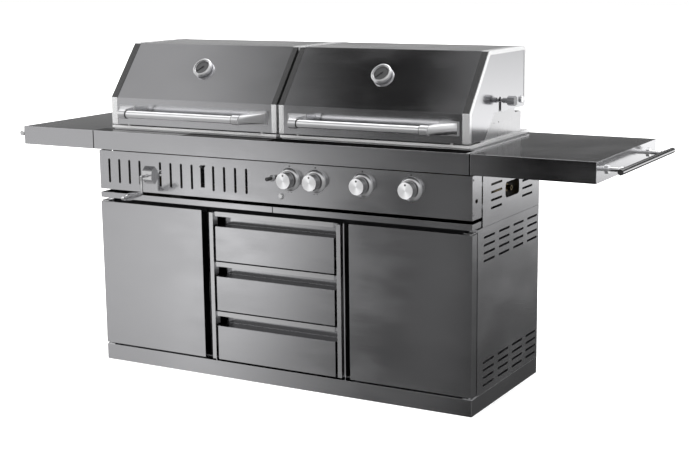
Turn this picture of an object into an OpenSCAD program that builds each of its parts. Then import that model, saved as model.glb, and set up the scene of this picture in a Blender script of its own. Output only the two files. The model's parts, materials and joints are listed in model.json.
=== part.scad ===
// Twin-hood barbecue on a cabinet: a charcoal bay on the left and a gas bay on the right.
// Inside the modules X = 0 is the middle of the cabinet, Y = 0 the face of the control
// panel and Z = 0 the floor, with -Y towards the cook. place() then moves every piece to
// the model's own origin, which is the middle of the bottom of the whole grill.

/* [Cabinet] */
// Width of the cabinet and of the plinth
cab_w = 1554; // [1300:2:1900]
// Depth of the cabinet from its face to its back
cab_d = 589; // [480:1:720]
// Height of the worktop above the floor
worktop_h = 900; // [740:1:1080]
// Height of the plinth
plinth_h = 60; // [40:1:80]
// Thickness of the sheet steel
sheet = 2; // [1.2:0.1:3]
// Depth of a door
door_t = 38; // [30:1:44]
// Width of the drawer stack
drawer_w = 500; // [400:2:600]
// Height of the finger gap over a drawer's front
finger_gap = 38; // [28:1:50]
// Width of the posts beside the drawers
post_w = 16; // [12:1:24]
// Gap that the hand uses behind a door's free edge
grip_gap = 34; // [25:1:60]

/* [Worktop and shelves] */
// Height of the worktop's front
fascia_h = 70; // [50:1:90]
// How far the worktop stands out over the control panel
fascia_out = 29; // [10:1:50]
// Length of the left shelf
left_shelf_len = 345; // [250:1:500]
// Length of the right shelf
right_shelf_len = 428; // [250:1:600]
// Distance of a shelf rail from the end of its shelf
rail_out = 60; // [40:1:90]
// Diameter of a shelf rail
rail_d = 20; // [14:1:28]

/* [Control panel] */
// Height of the control panel
panel_h = 148; // [123:1:178]
// Height of a tray's front
tray_h = 21; // [16:1:26]
// Diameter of a knob
knob_d = 58; // [44:1:70]
// How far the crank's grip hangs over the trays
grip_over = 16; // [15.5:0.5:24]

/* [Hoods] */
// How far a hood's outer end stands in from the end of the cabinet
hood_in = 33.5; // [20:0.5:60]
// Gap between the two hoods
hood_gap = 11; // [6:1:30]
// Height of a hood from its lip to its top
hood_h = 296; // [240:1:360]
// Height of the upright part of a hood's front
lip_h = 100; // [80:1:130]
// How far the sloping front leans back
slope_run = 157; // [100:1:200]
// Diameter of a hood's handle
handle_d = 27; // [20:1:34]
// Distance of the handle's middle from the hood
handle_out = 86; // [60:1:100]
// Diameter of a thermometer
dial_d = 75; // [50:1:90]
// Diameter of the roasting spit
spit_d = 12; // [8:1:14]

/* [Hidden] */
$fn = 64;
eps = 0.01;          // overlap that keeps cuts clean
fit = 0.3;           // air round a turning or sliding piece

// heights, from the floor up
door_z0 = plinth_h + 7;
worktop_z0 = worktop_h - fascia_h;
panel_z1 = worktop_z0 - 8;
panel_z0 = panel_z1 - panel_h;
tray_z1 = panel_z0 - 12.5;
tray_z0 = tray_z1 - tray_h;
seam_z = tray_z0 - 4;
door_z1 = tray_z0 - 15.5;
deck_t = 3;
deck_z = seam_z - 2 - deck_t;
shield_front_z = door_z1 - 14;

// widths
cab_r = cab_w / 2;
worktop_y1 = cab_d + 1;
drawer_r = drawer_w / 2;
post_x0 = drawer_r + 10;
post_x1 = post_x0 + post_w;
door_x0 = post_x1 + grip_gap;
door_w = cab_r - door_x0;

// drawers: three equal rows between the plinth and the trays
rows = 3;
row_gap = 4.5;
row_pitch = (door_z1 - door_z0 + row_gap) / rows;
cross_rail_h = 17;
drawer_front_h = row_pitch - row_gap - cross_rail_h - finger_gap;
pull_depth = 60;
pull_lip = 28;
box_clear = 10;
post_d = 30;
drawer_box_d = cab_d - 50;

// doors
pivot_in = 12;
pivot_r = 4;
pivot_len = 14;
side_front_y = door_t + 5;
side_flange = 30;

// worktop openings and what hangs in them
bay_in = 18;
bay_out = cab_r - hood_in - 15.5;
bay_y0 = 112;
bay_y1 = cab_d - 49;
firebox_z0 = panel_z0 + 16;
rim_h = 14;
rim_z1 = worktop_h + rim_h;
burner_r = 12.5;
burner_y0 = 78;
grate_z = worktop_h - 5;
grate_t = 12;
ledge_t = 6;

// hoods
hood_y0 = 48;
hood_y1 = cab_d - 61;
hood_z0 = rim_z1 + 5;
hood_z1 = hood_z0 + hood_h;
hood_x0 = hood_gap / 2;
hood_x1 = cab_r - hood_in;
hood_w = hood_x1 - hood_x0;
hood_mid = (hood_x0 + hood_x1) / 2;
trim = 1.5;
inner_trim_w = 20;
outer_trim_w = 27;
side_trim_w = 14;
axis_y = hood_y1 - 39;
axis_z = hood_z0 + 110;
hinge_r = 5;
side_edge_z = axis_z - 27;
guard_in = 6.5;
spit_y = hood_y0 + 252;
spit_z = axis_z + 13;
// outline of a hood in (Y, Z), from its front lip over the top and down its back
hood_round = 16;
hood_front = [[hood_y0, hood_z0], [hood_y0, hood_z0 + lip_h], [hood_y0 + slope_run, hood_z1]];
hood_top = arc([hood_y1 - hood_round, hood_z1 - hood_round], hood_round, 90, 0, 4);
hood_path = concat(hood_front, hood_top, [[hood_y1, axis_z - 5]]);

// controls, in the order that they stand along the panel
slot_count = 14;
slot_x0 = -cab_r + 47.6;
slot_pitch = (-108 - slot_x0) / (slot_count - 1);
slot_w = 10;
slot_z1 = panel_z1 - 30;
slot_h = panel_h - 56;
crank_slot = 4;
damper_slot = 9;
crank_x = slot_x0 + crank_slot * slot_pitch;
damper_x = slot_x0 + damper_slot * slot_pitch;
control_z = panel_z1 - 57;
burner_z = control_z;
first_burner_x = 180;
burner_pitch = (cab_r - 225 - first_burner_x) / 2;
burner_xs = [for (i = [0 : 2]) first_burner_x + i * burner_pitch];
knob_xs = concat([74], burner_xs);
bezel_d = knob_d + 25;
light_x = 38;
light_z = panel_z0 + 29;
stem_r = 4;
knob_l = 34;
knob_face_y = -46;
igniter_l = 34;

// hole in each upper side, which the gas inlet ends behind
upper_side_y = 82;
inlet_y = (upper_side_y + cab_d) / 2;
inlet_z = control_z - 29;

// crank
crank_z = panel_z1 - 81;
grip_z = tray_z1 + grip_over;
crank_shaft_y = -54;
crank_rod_r = 5.5;
crank_tip_y = -165;
crank_ball_r = 7;
drum_r = 8;
housing_w = 44;
housing_h = 68;
housing_out = 19;

// dampers: a flap that turns behind the vent slots
damper_y = 55;
damper_z = slot_z1 - 36;
damper_reach = 67;
damper_rise = 33;
damper_x0 = slot_x0 - 20;
damper_x1 = slot_x0 + (slot_count - 1) * slot_pitch + 20;
damper_r = 4;

// charcoal tray
charcoal_z = firebox_z0 + 30;
charcoal_tray_h = 40;

// thermometer: its place on the sloping front
slope_a = atan2(hood_h - lip_h, slope_run);
dial_up = 0.56;
dial_y = hood_y0 + dial_up * slope_run;
dial_z = hood_z0 + lip_h + dial_up * (hood_h - lip_h);
dial_out = 18;

// handles
handle_z = hood_z0 + 50;
handle_x0 = hood_x0 + 98;
handle_x1 = hood_x1 - 107.5;
collar_l = 30;
foot_w = 74;
foot_h = 47;
foot_in = 39;

// rails on the shelves
rail_z = worktop_h - 36;
rail_y0 = 22;
rail_y1 = cab_d - 5;
rail_post_ys = [75, cab_d - 85];

// colours
steel = [0.72, 0.72, 0.73];
bright = [0.86, 0.86, 0.87];
dull = [0.45, 0.45, 0.46];
black = [0.10, 0.10, 0.11];
iron = [0.20, 0.20, 0.21];
brass = [0.75, 0.62, 0.32];

// ---- helpers ----

// moves a piece from the cabinet's frame to the origin of the whole grill
module place() {
    centre_x = (right_shelf_len - left_shelf_len) / 2;
    centre_y = (worktop_y1 + crank_tip_y - crank_ball_r) / 2;
    translate([-centre_x, -centre_y, 0]) children();
}

// a box from one corner to the other
module box(a, b) { translate(a) cube(b - a); }

// a box with a mirror image on the other side of the cabinet
module both_sides() {
    children();
    mirror([1, 0, 0]) children();
}

module rod_x(r, x0, x1, y, z) {
    translate([x0, y, z]) rotate([0, 90, 0]) cylinder(r = r, h = x1 - x0);
}

module rod_y(r, y0, y1, x, z) {
    translate([x, y0, z]) rotate([-90, 0, 0]) cylinder(r = r, h = y1 - y0);
}

module rod_z(r, z0, z1, x, y) {
    translate([x, y, z0]) cylinder(r = r, h = z1 - z0);
}

// an outline drawn in (Y, Z), made x1 - x0 thick along X
module slab_x(x0, x1) {
    translate([x0, 0, 0]) rotate([90, 0, 90]) linear_extrude(x1 - x0) children();
}

// an upright slot through a front panel, with round ends
module slot_cut(x, z0, z1, w, y0, y1) {
    box([x - w / 2, y0, z0 + w / 2], [x + w / 2, y1, z1 - w / 2]);
    for (z = [z0 + w / 2, z1 - w / 2]) rod_y(w / 2, y0, y1, x, z);
}

// a lying slot through a side panel, with round ends
module side_slot_cut(y0, y1, z, h, x0, x1) {
    box([x0, y0 + h / 2, z - h / 2], [x1, y1 - h / 2, z + h / 2]);
    for (y = [y0 + h / 2, y1 - h / 2]) rod_x(h / 2, x0, x1, y, z);
}

// a rounded rectangle in the plane
module round_rect(w, h, r) {
    square([w - 2 * r, h], center = true);
    square([w, h - 2 * r], center = true);
    for (x = [-1, 1], y = [-1, 1])
        translate([x * (w / 2 - r), y * (h / 2 - r)]) circle(r);
}

// an open box of sheet: a floor and four walls
module pan(a, b, t) {
    difference() {
        box(a, b);
        box(a + [t, t, t], [b[0] - t, b[1] - t, b[2] + 1]);
    }
}

// a box of sheet that is open below
module lid(a, b, t) {
    difference() {
        box(a, b);
        box([a[0] + t, a[1] + t, a[2] - 1], b - [t, t, t]);
    }
}

// a path shifted sideways, to the left of its own direction
function unit(v) = v / norm(v);
function left_of(a, b) = let (u = unit(b - a)) [-u[1], u[0]];
function mitre(a, b, c) =
    let (m = left_of(a, b), n = left_of(b, c)) (m + n) / (1 + m * n);
function shifted(p, d) = [for (i = [0 : len(p) - 1])
    p[i] + d * (i == 0 ? left_of(p[0], p[1])
        : i == len(p) - 1 ? left_of(p[i - 1], p[i])
        : mitre(p[i - 1], p[i], p[i + 1]))];
function reversed(p) = [for (i = [len(p) - 1 : -1 : 0]) p[i]];
function arc(c, r, a0, a1, n) =
    [for (i = [0 : n]) let (a = a0 + (a1 - a0) * i / n) c + r * [cos(a), sin(a)]];

// ---- cabinet ----

module plinth() {
    flange = 45;
    color(steel) {
        difference() {
            box([-cab_r, 0, 0], [cab_r, cab_d, plinth_h]);
            box([-cab_r + sheet, sheet, -1], [cab_r - sheet, cab_d - sheet, plinth_h - sheet]);
            box([-cab_r + flange, flange, 0], [cab_r - flange, cab_d - flange, plinth_h + 1]);
        }
        // a beam under the middle of the floor
        box([-20, sheet, plinth_h - 2 * sheet], [20, cab_d - sheet, plinth_h - sheet]);
    }
}

module levelling_feet() {
    foot_r = 22;
    foot_t = 8;
    inset = 30;
    color(dull) for (x = [-cab_r + inset, 0, cab_r - inset], y = [inset, cab_d - inset]) {
        top = x == 0 ? plinth_h - 2 * sheet : plinth_h - sheet;
        rod_z(foot_r, 0, foot_t, x, y);
        rod_z(6, foot_t, top, x, y);
        rod_z(10, top - 8, top, x, y);
    }
}

module cabinet_base() {
    color(steel) box([-cab_r + sheet, side_front_y + sheet, plinth_h],
        [cab_r - sheet, cab_d - sheet, plinth_h + sheet]);
}

// one lower side, with two blocks of louvre slots and a stiffening flange at its front
module side_panel() {
    slot_len = 94;
    slot_t = 8;
    col_pitch = 128.5;
    row_step = 27;
    cols = floor((cab_d - 92) / col_pitch);
    difference() {
        union() {
            box([cab_r - sheet, side_front_y, plinth_h], [cab_r, cab_d, seam_z]);
            box([cab_r - side_flange, side_front_y, plinth_h],
                [cab_r - sheet + eps, side_front_y + sheet, seam_z]);
        }
        for (c = [0 : cols], r = [0 : 3]) {
            y = 92 + c * col_pitch;
            if (y + slot_len < cab_d - 10) {
                side_slot_cut(y, y + slot_len, door_z0 + 18 + r * row_step, slot_t,
                    cab_r - sheet - 1, cab_r + 1);
                side_slot_cut(y, y + slot_len, seam_z - 35 - r * row_step, slot_t,
                    cab_r - sheet - 1, cab_r + 1);
            }
        }
        for (h = [[168, 395], [246, 395], [166, 315], [402, 314], [488, 351], [459, 243]])
            rod_x(2.5, cab_r - sheet - 1, cab_r + 1, h[0], door_z0 + h[1] - 4);
    }
}

module side_panels() { color(steel) both_sides() side_panel(); }

// one upper side beside the fireboxes: two columns of slots and a large hole between them
module upper_side_panel() {
    y0 = upper_side_y;
    mid = inlet_y;
    slot_len = 95;
    difference() {
        box([cab_r - sheet, y0, seam_z + 1], [cab_r, cab_d, worktop_z0]);
        for (s = [-1, 1], r = [0 : 3]) {
            y = mid + s * 138 - slot_len / 2;
            side_slot_cut(y, y + slot_len, panel_z1 - 48.5 - r * 27, 8,
                cab_r - sheet - 1, cab_r + 1);
        }
        translate([0, mid, inlet_z]) slab_x(cab_r - sheet - 1, cab_r + 1)
            round_rect(123, 55, 14);
    }
}

module upper_side_panels() { color(steel) both_sides() upper_side_panel(); }

module back_panel() {
    color(steel) difference() {
        box([-cab_r + sheet, cab_d - sheet, plinth_h], [cab_r - sheet, cab_d, worktop_z0]);
        for (s = [-1, 1], c = [0 : 1], r = [0 : 3])
            translate([s * (door_x0 + door_w / 2 - 180 + c * 120), 0, 0])
                box([-45, cab_d - sheet - 1, door_z1 - 60 - r * 27],
                    [45, cab_d + 1, door_z1 - 52 - r * 27]);
    }
}

module cabinet_dividers() {
    color(steel) both_sides() {
        box([post_x1, post_d, plinth_h + sheet],
            [post_x1 + sheet, cab_d - sheet, shield_front_z]);
        box([post_x1, side_front_y + 2 * sheet, shield_front_z - eps],
            [post_x1 + sheet, cab_d - sheet, deck_z]);
    }
}

// posts and cross rails round the drawers
module drawer_frame() {
    color(bright) {
        both_sides() {
            box([post_x0, 0, door_z0], [post_x1, post_d, door_z1 - 5]);
            // return that stands on the plinth
            box([post_x1 - eps, post_d - 6, plinth_h], [post_x1 + sheet, post_d, door_z1 - 5]);
        }
        for (i = [0 : rows - 1]) {
            z1 = door_z0 + (i + 1) * row_pitch - row_gap;
            box([-drawer_r, 0, z1 - cross_rail_h], [drawer_r, 16, z1]);
            box([-post_x0 - eps, 16 - eps, z1 - cross_rail_h], [post_x0 + eps, 20, z1 - 5]);
        }
    }
}

// fixed halves of the drawer runners
module cabinet_runners() {
    x0 = drawer_r - box_clear + 7;
    color(dull) for (i = [0 : rows - 1]) both_sides() difference() {
        z = runner_z(i);
        box([x0, 45, z - 20], [post_x1, drawer_box_d - 20, z + 20]);
        box([x0 - 1, 44, z - 12], [x0 + 6, drawer_box_d - 20 + 1, z + 12]);
        box([x0 + 8, 44, z - 16], [post_x1 - 2, drawer_box_d - 20 + 1, z + 16]);
    }
}
function drawer_z(i) = door_z0 + i * row_pitch;
function runner_z(i) = drawer_z(i) + (drawer_front_h - 10) / 2;

// deck under the trays, with a front edge that closes the gap over the doors
module heat_shield() {
    color(dull) {
        box([-cab_r + sheet, side_front_y + sheet, deck_z],
            [cab_r - sheet, cab_d - sheet, deck_z + deck_t]);
        box([-cab_r + side_flange, side_front_y + sheet, shield_front_z],
            [cab_r - side_flange, side_front_y + 2 * sheet, deck_z + eps]);
        // four strips that the trays slide on
        for (x = [-cab_r + 14, -14, 14, cab_r - 14])
            box([x - 5, 90, deck_z + deck_t - eps], [x + 5, cab_d - 62, tray_z0]);
    }
}

// plates and pins that the doors turn on
module door_hinges() {
    px = cab_r - pivot_in;
    plate = 3;
    color(bright) both_sides() {
        for (top = [0, 1]) {
            z0 = top == 1 ? door_z1 + 2 : plinth_h;
            box([px - 22, pivot_in - 9, z0], [px + 10, side_front_y, z0 + plate]);
            pin0 = top == 1 ? z0 - pivot_len : z0 + plate - eps;
            rod_z(pivot_r, pin0, pin0 + pivot_len + eps, px, pivot_in);
        }
        // ear that bolts the upper plate to the side's flange
        box([px - 18, side_front_y - plate, door_z1 + 2], [px - 2, side_front_y, seam_z - 2]);
    }
}

// ---- worktop ----

module worktop() {
    color(steel) difference() {
        lid([-cab_r, -fascia_out, worktop_z0], [cab_r, worktop_y1, worktop_h], sheet);
        both_sides() box([bay_in, bay_y0, worktop_h - 20], [bay_out, bay_y1, worktop_h + 1]);
    }
}

// an end shelf, hung on two pads so that a thin seam shows beside the worktop
module shelf(len) {
    seam = 2.5;
    lid([cab_r + seam, -fascia_out, worktop_z0],
        [cab_r + len, worktop_y1, worktop_h], sheet);
    for (y = [60, cab_d - 120])
        box([cab_r, y, worktop_z0 + 8], [cab_r + seam + eps, y + 60, worktop_h - 8]);
}

module left_shelf() { color(steel) mirror([1, 0, 0]) shelf(left_shelf_len); }
module right_shelf() { color(steel) shelf(right_shelf_len); }

module shelf_rail(len) {
    x = cab_r + len + rail_out;
    rod_y(rail_d / 2, rail_y0, rail_y1, x, rail_z);
    for (y = rail_post_ys) {
        rod_x(rail_d * 0.35, cab_r + len, x, y, rail_z);
        rod_x(rail_d * 0.75, cab_r + len, cab_r + len + 6, y, rail_z);
        rod_x(rail_d * 0.55, x - rail_d * 0.75, x - rail_d * 0.3, y, rail_z);
    }
}

module shelf_rails() {
    color(bright) {
        shelf_rail(right_shelf_len);
        mirror([1, 0, 0]) shelf_rail(left_shelf_len);
    }
}

// raised rims that the hoods close on, with small rubber stops
module hood_rims() {
    color(bright) both_sides() {
        for (step = [[6, worktop_h, worktop_h + 4 + eps], [0, worktop_h + 4, rim_z1]])
            difference() {
                box([hood_x0 + 2.5 + step[0], hood_y0 + step[0], step[1]],
                    [hood_x1 + 1.5 - step[0], bay_y1 + 25 - step[0], step[2]]);
                box([bay_in, bay_y0, step[1] - 1], [bay_out, bay_y1, step[2] + 1]);
            }
        for (x = [hood_x0 + 70, hood_x1 - 70])
            rod_z(5, rim_z1 - eps, hood_z0 - 0.5, x, hood_y0 + 12);
    }
}

// ---- fireboxes ----

module firebox(x0, x1) {
    ledge = 14;
    difference() {
        pan([x0, bay_y0, firebox_z0], [x1, bay_y1, rim_z1 - 2], sheet);
        children();
    }
    for (y = [bay_y0 + sheet - eps, bay_y1 - sheet - ledge + eps])
        box([x0 + sheet, y, grate_z - ledge_t], [x1 - sheet, y + ledge, grate_z]);
}

module charcoal_firebox() {
    color(dull) {
        firebox(-bay_out, -bay_in) {
            // ash falls through here, and air comes in at the front
            for (i = [-3 : 3])
                box([-hood_mid + i * 80 - 25, bay_y0 + 60, firebox_z0 - 1],
                    [-hood_mid + i * 80 + 25, bay_y1 - 60, firebox_z0 + sheet + 1]);
            for (i = [-6 : 6])
                slot_cut(-hood_mid + i * slot_pitch, firebox_z0 + 12, firebox_z0 + 72, slot_w,
                    bay_y0 - 1, bay_y0 + sheet + 1);
        }
        // upright guides for the charcoal tray
        for (x = [-bay_out + sheet - eps, -bay_in - sheet - 8 + eps], y = [-1, 1])
            box([x, (bay_y0 + bay_y1) / 2 + y * 17 - 4, firebox_z0 + sheet - eps],
                [x + 8, (bay_y0 + bay_y1) / 2 + y * 17 + 4, grate_z - ledge_t - 2]);
    }
}

module gas_firebox() {
    color(dull) firebox(bay_in, bay_out) {
        for (x = burner_xs)
            rod_y(burner_r + fit, bay_y0 - 1, bay_y0 + sheet + 1, x, burner_z);
        box([hood_mid - 60, bay_y0 + 160, firebox_z0 - 1],
            [hood_mid + 60, bay_y0 + 240, firebox_z0 + sheet + 1]);
    }
}

// fixed sides and back behind each hood; they carry the hinges and, on the gas side, the spit
module guard_side() {
    polygon([
        [hood_y0 + 100, rim_z1], [hood_y1 - 24, rim_z1], [hood_y1 - 24, axis_z - 42],
        [axis_y - 42, axis_z - 42], [axis_y - 42, axis_z - 26], [axis_y - 18, axis_z - 24],
        [axis_y + 18, axis_z - 20], [axis_y + 24, axis_z], [axis_y + 14, axis_z + 20],
        [spit_y + 22, spit_z + 14], [spit_y - 22, spit_z + 14], [hood_y0 + 100, rim_z1 + 45]]);
}

module back_guards() {
    color(bright) both_sides() {
        for (x = [hood_x0 + guard_in, hood_x1 - guard_in - sheet]) difference() {
            slab_x(x, x + sheet) guard_side();
            rod_x(hinge_r + fit, x - 1, x + sheet + 1, axis_y, axis_z);
            for (y = [spit_y - 38, spit_y + 2]) rod_x(2.5, x - 1, x + sheet + 1, y, rim_z1 + 53);
            slab_x(x - 1, x + sheet + 1) {
                translate([spit_y, spit_z]) circle(spit_d / 2 + fit);
                translate([spit_y - spit_d / 2 - fit, spit_z]) square([spit_d + 2 * fit, 60]);
            }
        }
        box([hood_x0 + guard_in + sheet - eps, hood_y1 - 24 - sheet, rim_z1],
            [hood_x1 - guard_in - sheet + eps, hood_y1 - 24, axis_z - 42]);
    }
}

module rear_burner() {
    w = hood_w - 180;
    y1 = hood_y1 - 24 - sheet;
    color(dull) {
        difference() {
            box([hood_mid - w / 2, y1 - 30, rim_z1 + 10], [hood_mid + w / 2, y1, axis_z - 48]);
            box([hood_mid - w / 2 + 6, y1 - 31, rim_z1 + 16],
                [hood_mid + w / 2 - 6, y1 - 22, axis_z - 54]);
        }
    }
}

// a grate of bars along Y on two cross bars
module grate(x0, x1) {
    bar = 6;
    pitch = 19;
    n = floor((x1 - x0 - bar) / pitch);
    step = (x1 - x0 - bar) / n;
    y0 = bay_y0 + sheet + 2;
    y1 = bay_y1 - sheet - 2;
    for (i = [0 : n])
        box([x0 + i * step, y0, grate_z], [x0 + i * step + bar, y1, grate_z + grate_t]);
    for (y = [y0, (y0 + y1) / 2 - 4, y1 - 8])
        box([x0, y, grate_z], [x1, y + 8, grate_z + grate_t - 4]);
}

module charcoal_side_grate() {
    w = (bay_out - bay_in - 2 * sheet) / 3;
    color(iron) for (i = [0 : 2])
        grate(-bay_out + sheet + i * w + 1, -bay_out + sheet + (i + 1) * w - 1);
}

module gas_side_grate() {
    w = (bay_out - bay_in - 2 * sheet) / 3;
    color(iron) for (i = [0 : 2])
        grate(bay_in + sheet + i * w + 1, bay_in + sheet + (i + 1) * w - 1);
}

module main_burners() {
    color(steel) for (x = burner_xs) {
        difference() {
            rod_y(burner_r, burner_y0, bay_y1 - 40, x, burner_z);
            rod_y(burner_r - sheet, burner_y0 - 1, bay_y1 - 40 - sheet, x, burner_z);
            // air shutter windows near the front
            box([x - 20, burner_y0 + 10, burner_z - 4], [x + 20, burner_y0 + 26, burner_z + 4]);
        }
        rod_y(4, bay_y1 - 40 - eps, bay_y1 - sheet, x, burner_z);
    }
}

// roofs of folded sheet over the burners
module flame_tamers() {
    t = 1.6;
    half = 42;
    rise = 26;
    color(dull) for (x = burner_xs)
        translate([x, bay_y0 + sheet, burner_z + 18])
            rotate([90, 0, 0]) mirror([0, 0, 1]) linear_extrude(bay_y1 - bay_y0 - 2 * sheet)
                polygon([[-half, 0], [0, rise], [half, 0], [half, t * 1.3], [0, rise + t * 1.3],
                    [-half, t * 1.3]]);
}

// the gas pipe, its inlet at the side hole, and a valve with a stem behind each knob
module gas_manifold() {
    pipe_r = 9;
    pipe_y = 60;
    end_x = cab_r - 30;
    free_x = end_x + pipe_r;
    inlet_x = free_x + 18;
    strap_xs = [burner_xs[0] + burner_pitch / 2, burner_xs[1] + burner_pitch / 2];
    color(brass) difference() {
        union() {
            rod_x(pipe_r, knob_xs[0] - 25, end_x, pipe_y, inlet_z);
            rod_y(pipe_r, pipe_y, inlet_y, end_x, inlet_z);
            for (y = [pipe_y, inlet_y]) translate([end_x, y, inlet_z]) sphere(pipe_r);
            rod_x(pipe_r, end_x, inlet_x, inlet_y, inlet_z);
            rod_x(14, free_x - 6, free_x, inlet_y, inlet_z);
            // straps to the front of the firebox
            for (x = strap_xs) box([x - 8, pipe_y, inlet_z - 1.5], [x + 8, bay_y0, inlet_z + 1.5]);
            for (x = knob_xs) {
                rod_z(11, inlet_z, control_z, x, pipe_y);
                rod_y(14, 24, pipe_y + 8, x, control_z);
                rod_y(5, pipe_y + 8 - eps, burner_y0 + 4, x, control_z);
                rod_y(stem_r, knob_face_y + 14, 25, x, control_z);
            }
        }
        rod_x(pipe_r - 3, free_x + 3, inlet_x + 1, inlet_y, inlet_z);
    }
}

// ---- control panel ----

module control_panel() {
    side_r = cab_r - 1;
    side_d = 74;
    // brackets that the damper's rod turns in
    color(steel) for (x = [damper_x0 + 1, damper_x1 - 3]) difference() {
        box([x, sheet - eps, damper_z - 9], [x + 2, damper_y + 9, damper_z + 9]);
        rod_x(damper_r + fit, x - 1, x + 3, damper_y, damper_z);
    }
    // tabs that bolt to the upper sides
    color(steel) both_sides() for (z = [panel_z0 + 30, panel_z1 - 44])
        box([cab_r - sheet - 2, side_d - 14, z], [cab_r - sheet, upper_side_y + 18, z + 14]);
    color(steel) difference() {
        box([-side_r, 0, panel_z0], [side_r, side_d, panel_z1]);
        box([-side_r + sheet, sheet, panel_z0 + sheet], [side_r - sheet, side_d + 1, panel_z1 + 1]);
        box([-side_r + 40, 20, panel_z0 - 1], [side_r - 40, side_d + 1, panel_z0 + 3]);
        for (i = [0 : slot_count - 1])
            if (i != crank_slot && i != damper_slot)
                slot_cut(slot_x0 + i * slot_pitch, slot_z1 - slot_h, slot_z1, slot_w,
                    -1, sheet + 1);
        box([damper_x - 9, -1, slot_z1 - slot_h + 10], [damper_x + 9, sheet + 1, slot_z1]);
        rod_y(crank_rod_r + 1, -1, sheet + 1, crank_x, crank_z);
        for (x = knob_xs) rod_y(stem_r + 1, -1, sheet + 1, x, control_z);
        rod_y(7 + fit, -1, sheet + 1, 0, control_z);
        rod_y(8 + fit, -1, sheet + 1, light_x, light_z);
        both_sides() {
            side_slot_cut(23, 43, panel_z0 + 61, 14, side_r - sheet - 1, side_r + 1);
            for (z = [panel_z0 + 18, panel_z1 - 14])
                rod_x(2, side_r - sheet - 1, side_r + 1, 8, z);
        }
    }
}

// rings round the four knobs, the igniter and the light button
module knob_bezels() {
    color(bright) {
        for (x = knob_xs) translate([x, 0, control_z]) rotate([90, 0, 0]) rotate_extrude()
            polygon([[stem_r + 2, 0], [bezel_d / 2, 0], [bezel_d / 2, 3], [bezel_d / 2 - 5, 9],
                [knob_d / 2 + 3, 11], [knob_d / 2 + 3, 8], [stem_r + 2, 8]]);
        translate([0, 0, control_z]) rotate([90, 0, 0]) rotate_extrude()
            polygon([[7 + fit, 0], [12, 0], [12, 5], [10, 8], [7 + fit, 8]]);
        translate([light_x, 0, light_z]) rotate([90, 0, 0]) rotate_extrude()
            polygon([[8 + fit, 0], [11.5, 0], [11.5, 2], [10.5, 3.5], [8 + fit, 3.5]]);
    }
}

module knob(x) {
    flat = 11.5;
    depth = knob_l;
    color(bright) translate([x, knob_face_y, control_z]) rotate([-90, 0, 0]) difference() {
        rotate_extrude() polygon([[0, 0], [knob_d / 2 - 4, 0], [knob_d / 2 - 1, 2],
            [knob_d / 2, 6], [knob_d / 2, depth], [0, depth]]);
        translate([0, 0, 10]) cylinder(r = stem_r + fit, h = depth);
        // groove that marks where the knob points
        translate([-1.5, -knob_d / 2 + 4, -1]) cube([3, flat, 2.5]);
    }
}

module rotisserie_knob() { knob(knob_xs[0]); }
module left_burner_knob() { knob(knob_xs[1]); }
module middle_burner_knob() { knob(knob_xs[2]); }
module right_burner_knob() { knob(knob_xs[3]); }

module igniter_button() {
    color(black) {
        rod_y(7, -igniter_l, 16, 0, control_z);
        rod_y(10, 10, 16, 0, control_z);
    }
}

module light_button() {
    color(bright) {
        rod_y(8, -6, 12, light_x, light_z);
        rod_y(10, 7, 12, light_x, light_z);
    }
}

// half-hexagon housing on the panel that the crank's shaft runs in
module crank_housing() {
    half = housing_h / 2;
    color(bright) difference() {
        slab_x(crank_x - housing_w / 2, crank_x + housing_w / 2)
            polygon([[0, crank_z - half], [0, crank_z + half], [-housing_out, crank_z + half * 0.45],
                [-housing_out, crank_z - half * 0.45]]);
        rod_y(crank_rod_r + fit, -housing_out - 1, 1, crank_x, crank_z);
    }
}

module crank_arm() {
    color(bright) {
        rod_y(crank_rod_r, crank_shaft_y, 92, crank_x, crank_z);
        translate([crank_x, crank_shaft_y, crank_z]) sphere(crank_rod_r);
        rod_z(crank_rod_r, grip_z, crank_z, crank_x, crank_shaft_y);
        translate([crank_x, crank_shaft_y, grip_z]) sphere(crank_rod_r);
        rod_y(crank_rod_r, crank_tip_y, crank_shaft_y, crank_x, grip_z);
        translate([crank_x, crank_tip_y, grip_z]) sphere(crank_ball_r);
        // drum that winds the lifting chain
        rod_y(drum_r, 66, 86, crank_x, crank_z);
        for (y = [63, 86]) rod_y(13, y, y + 3, crank_x, crank_z);
    }
}

// egg-shaped grip of six curved ribs, which spins on the end of the crank
module crank_grip() {
    y0 = crank_tip_y + crank_ball_r + 1;
    len = crank_shaft_y - 12 - y0;
    steps = 12;
    rib_t = 3;
    // radius of the ribs' outside: blunt towards the cook, slender towards the arm
    function grip_r(t) = 8 + 6 * sin(180 * pow(t, 0.6));
    function grip_at(t) = 1 + (len - 2) * t;
    bore = crank_rod_r + fit;
    color(bright) translate([crank_x, y0, grip_z]) rotate([-90, 0, 0]) difference() {
        union() {
            for (z = [0, len - 5]) translate([0, 0, z]) cylinder(r = 8.5, h = 5);
            for (a = [0 : 60 : 300]) rotate([90, 0, a]) translate([0, 0, -rib_t / 2])
                linear_extrude(rib_t) polygon(concat(
                    [for (i = [0 : steps]) [grip_r(i / steps), grip_at(i / steps)]],
                    [for (i = [steps : -1 : 0])
                        [max(bore + 0.6, grip_r(i / steps) - rib_t), grip_at(i / steps)]]));
        }
        translate([0, 0, -1]) cylinder(r = bore, h = len + 2);
    }
}

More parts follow.
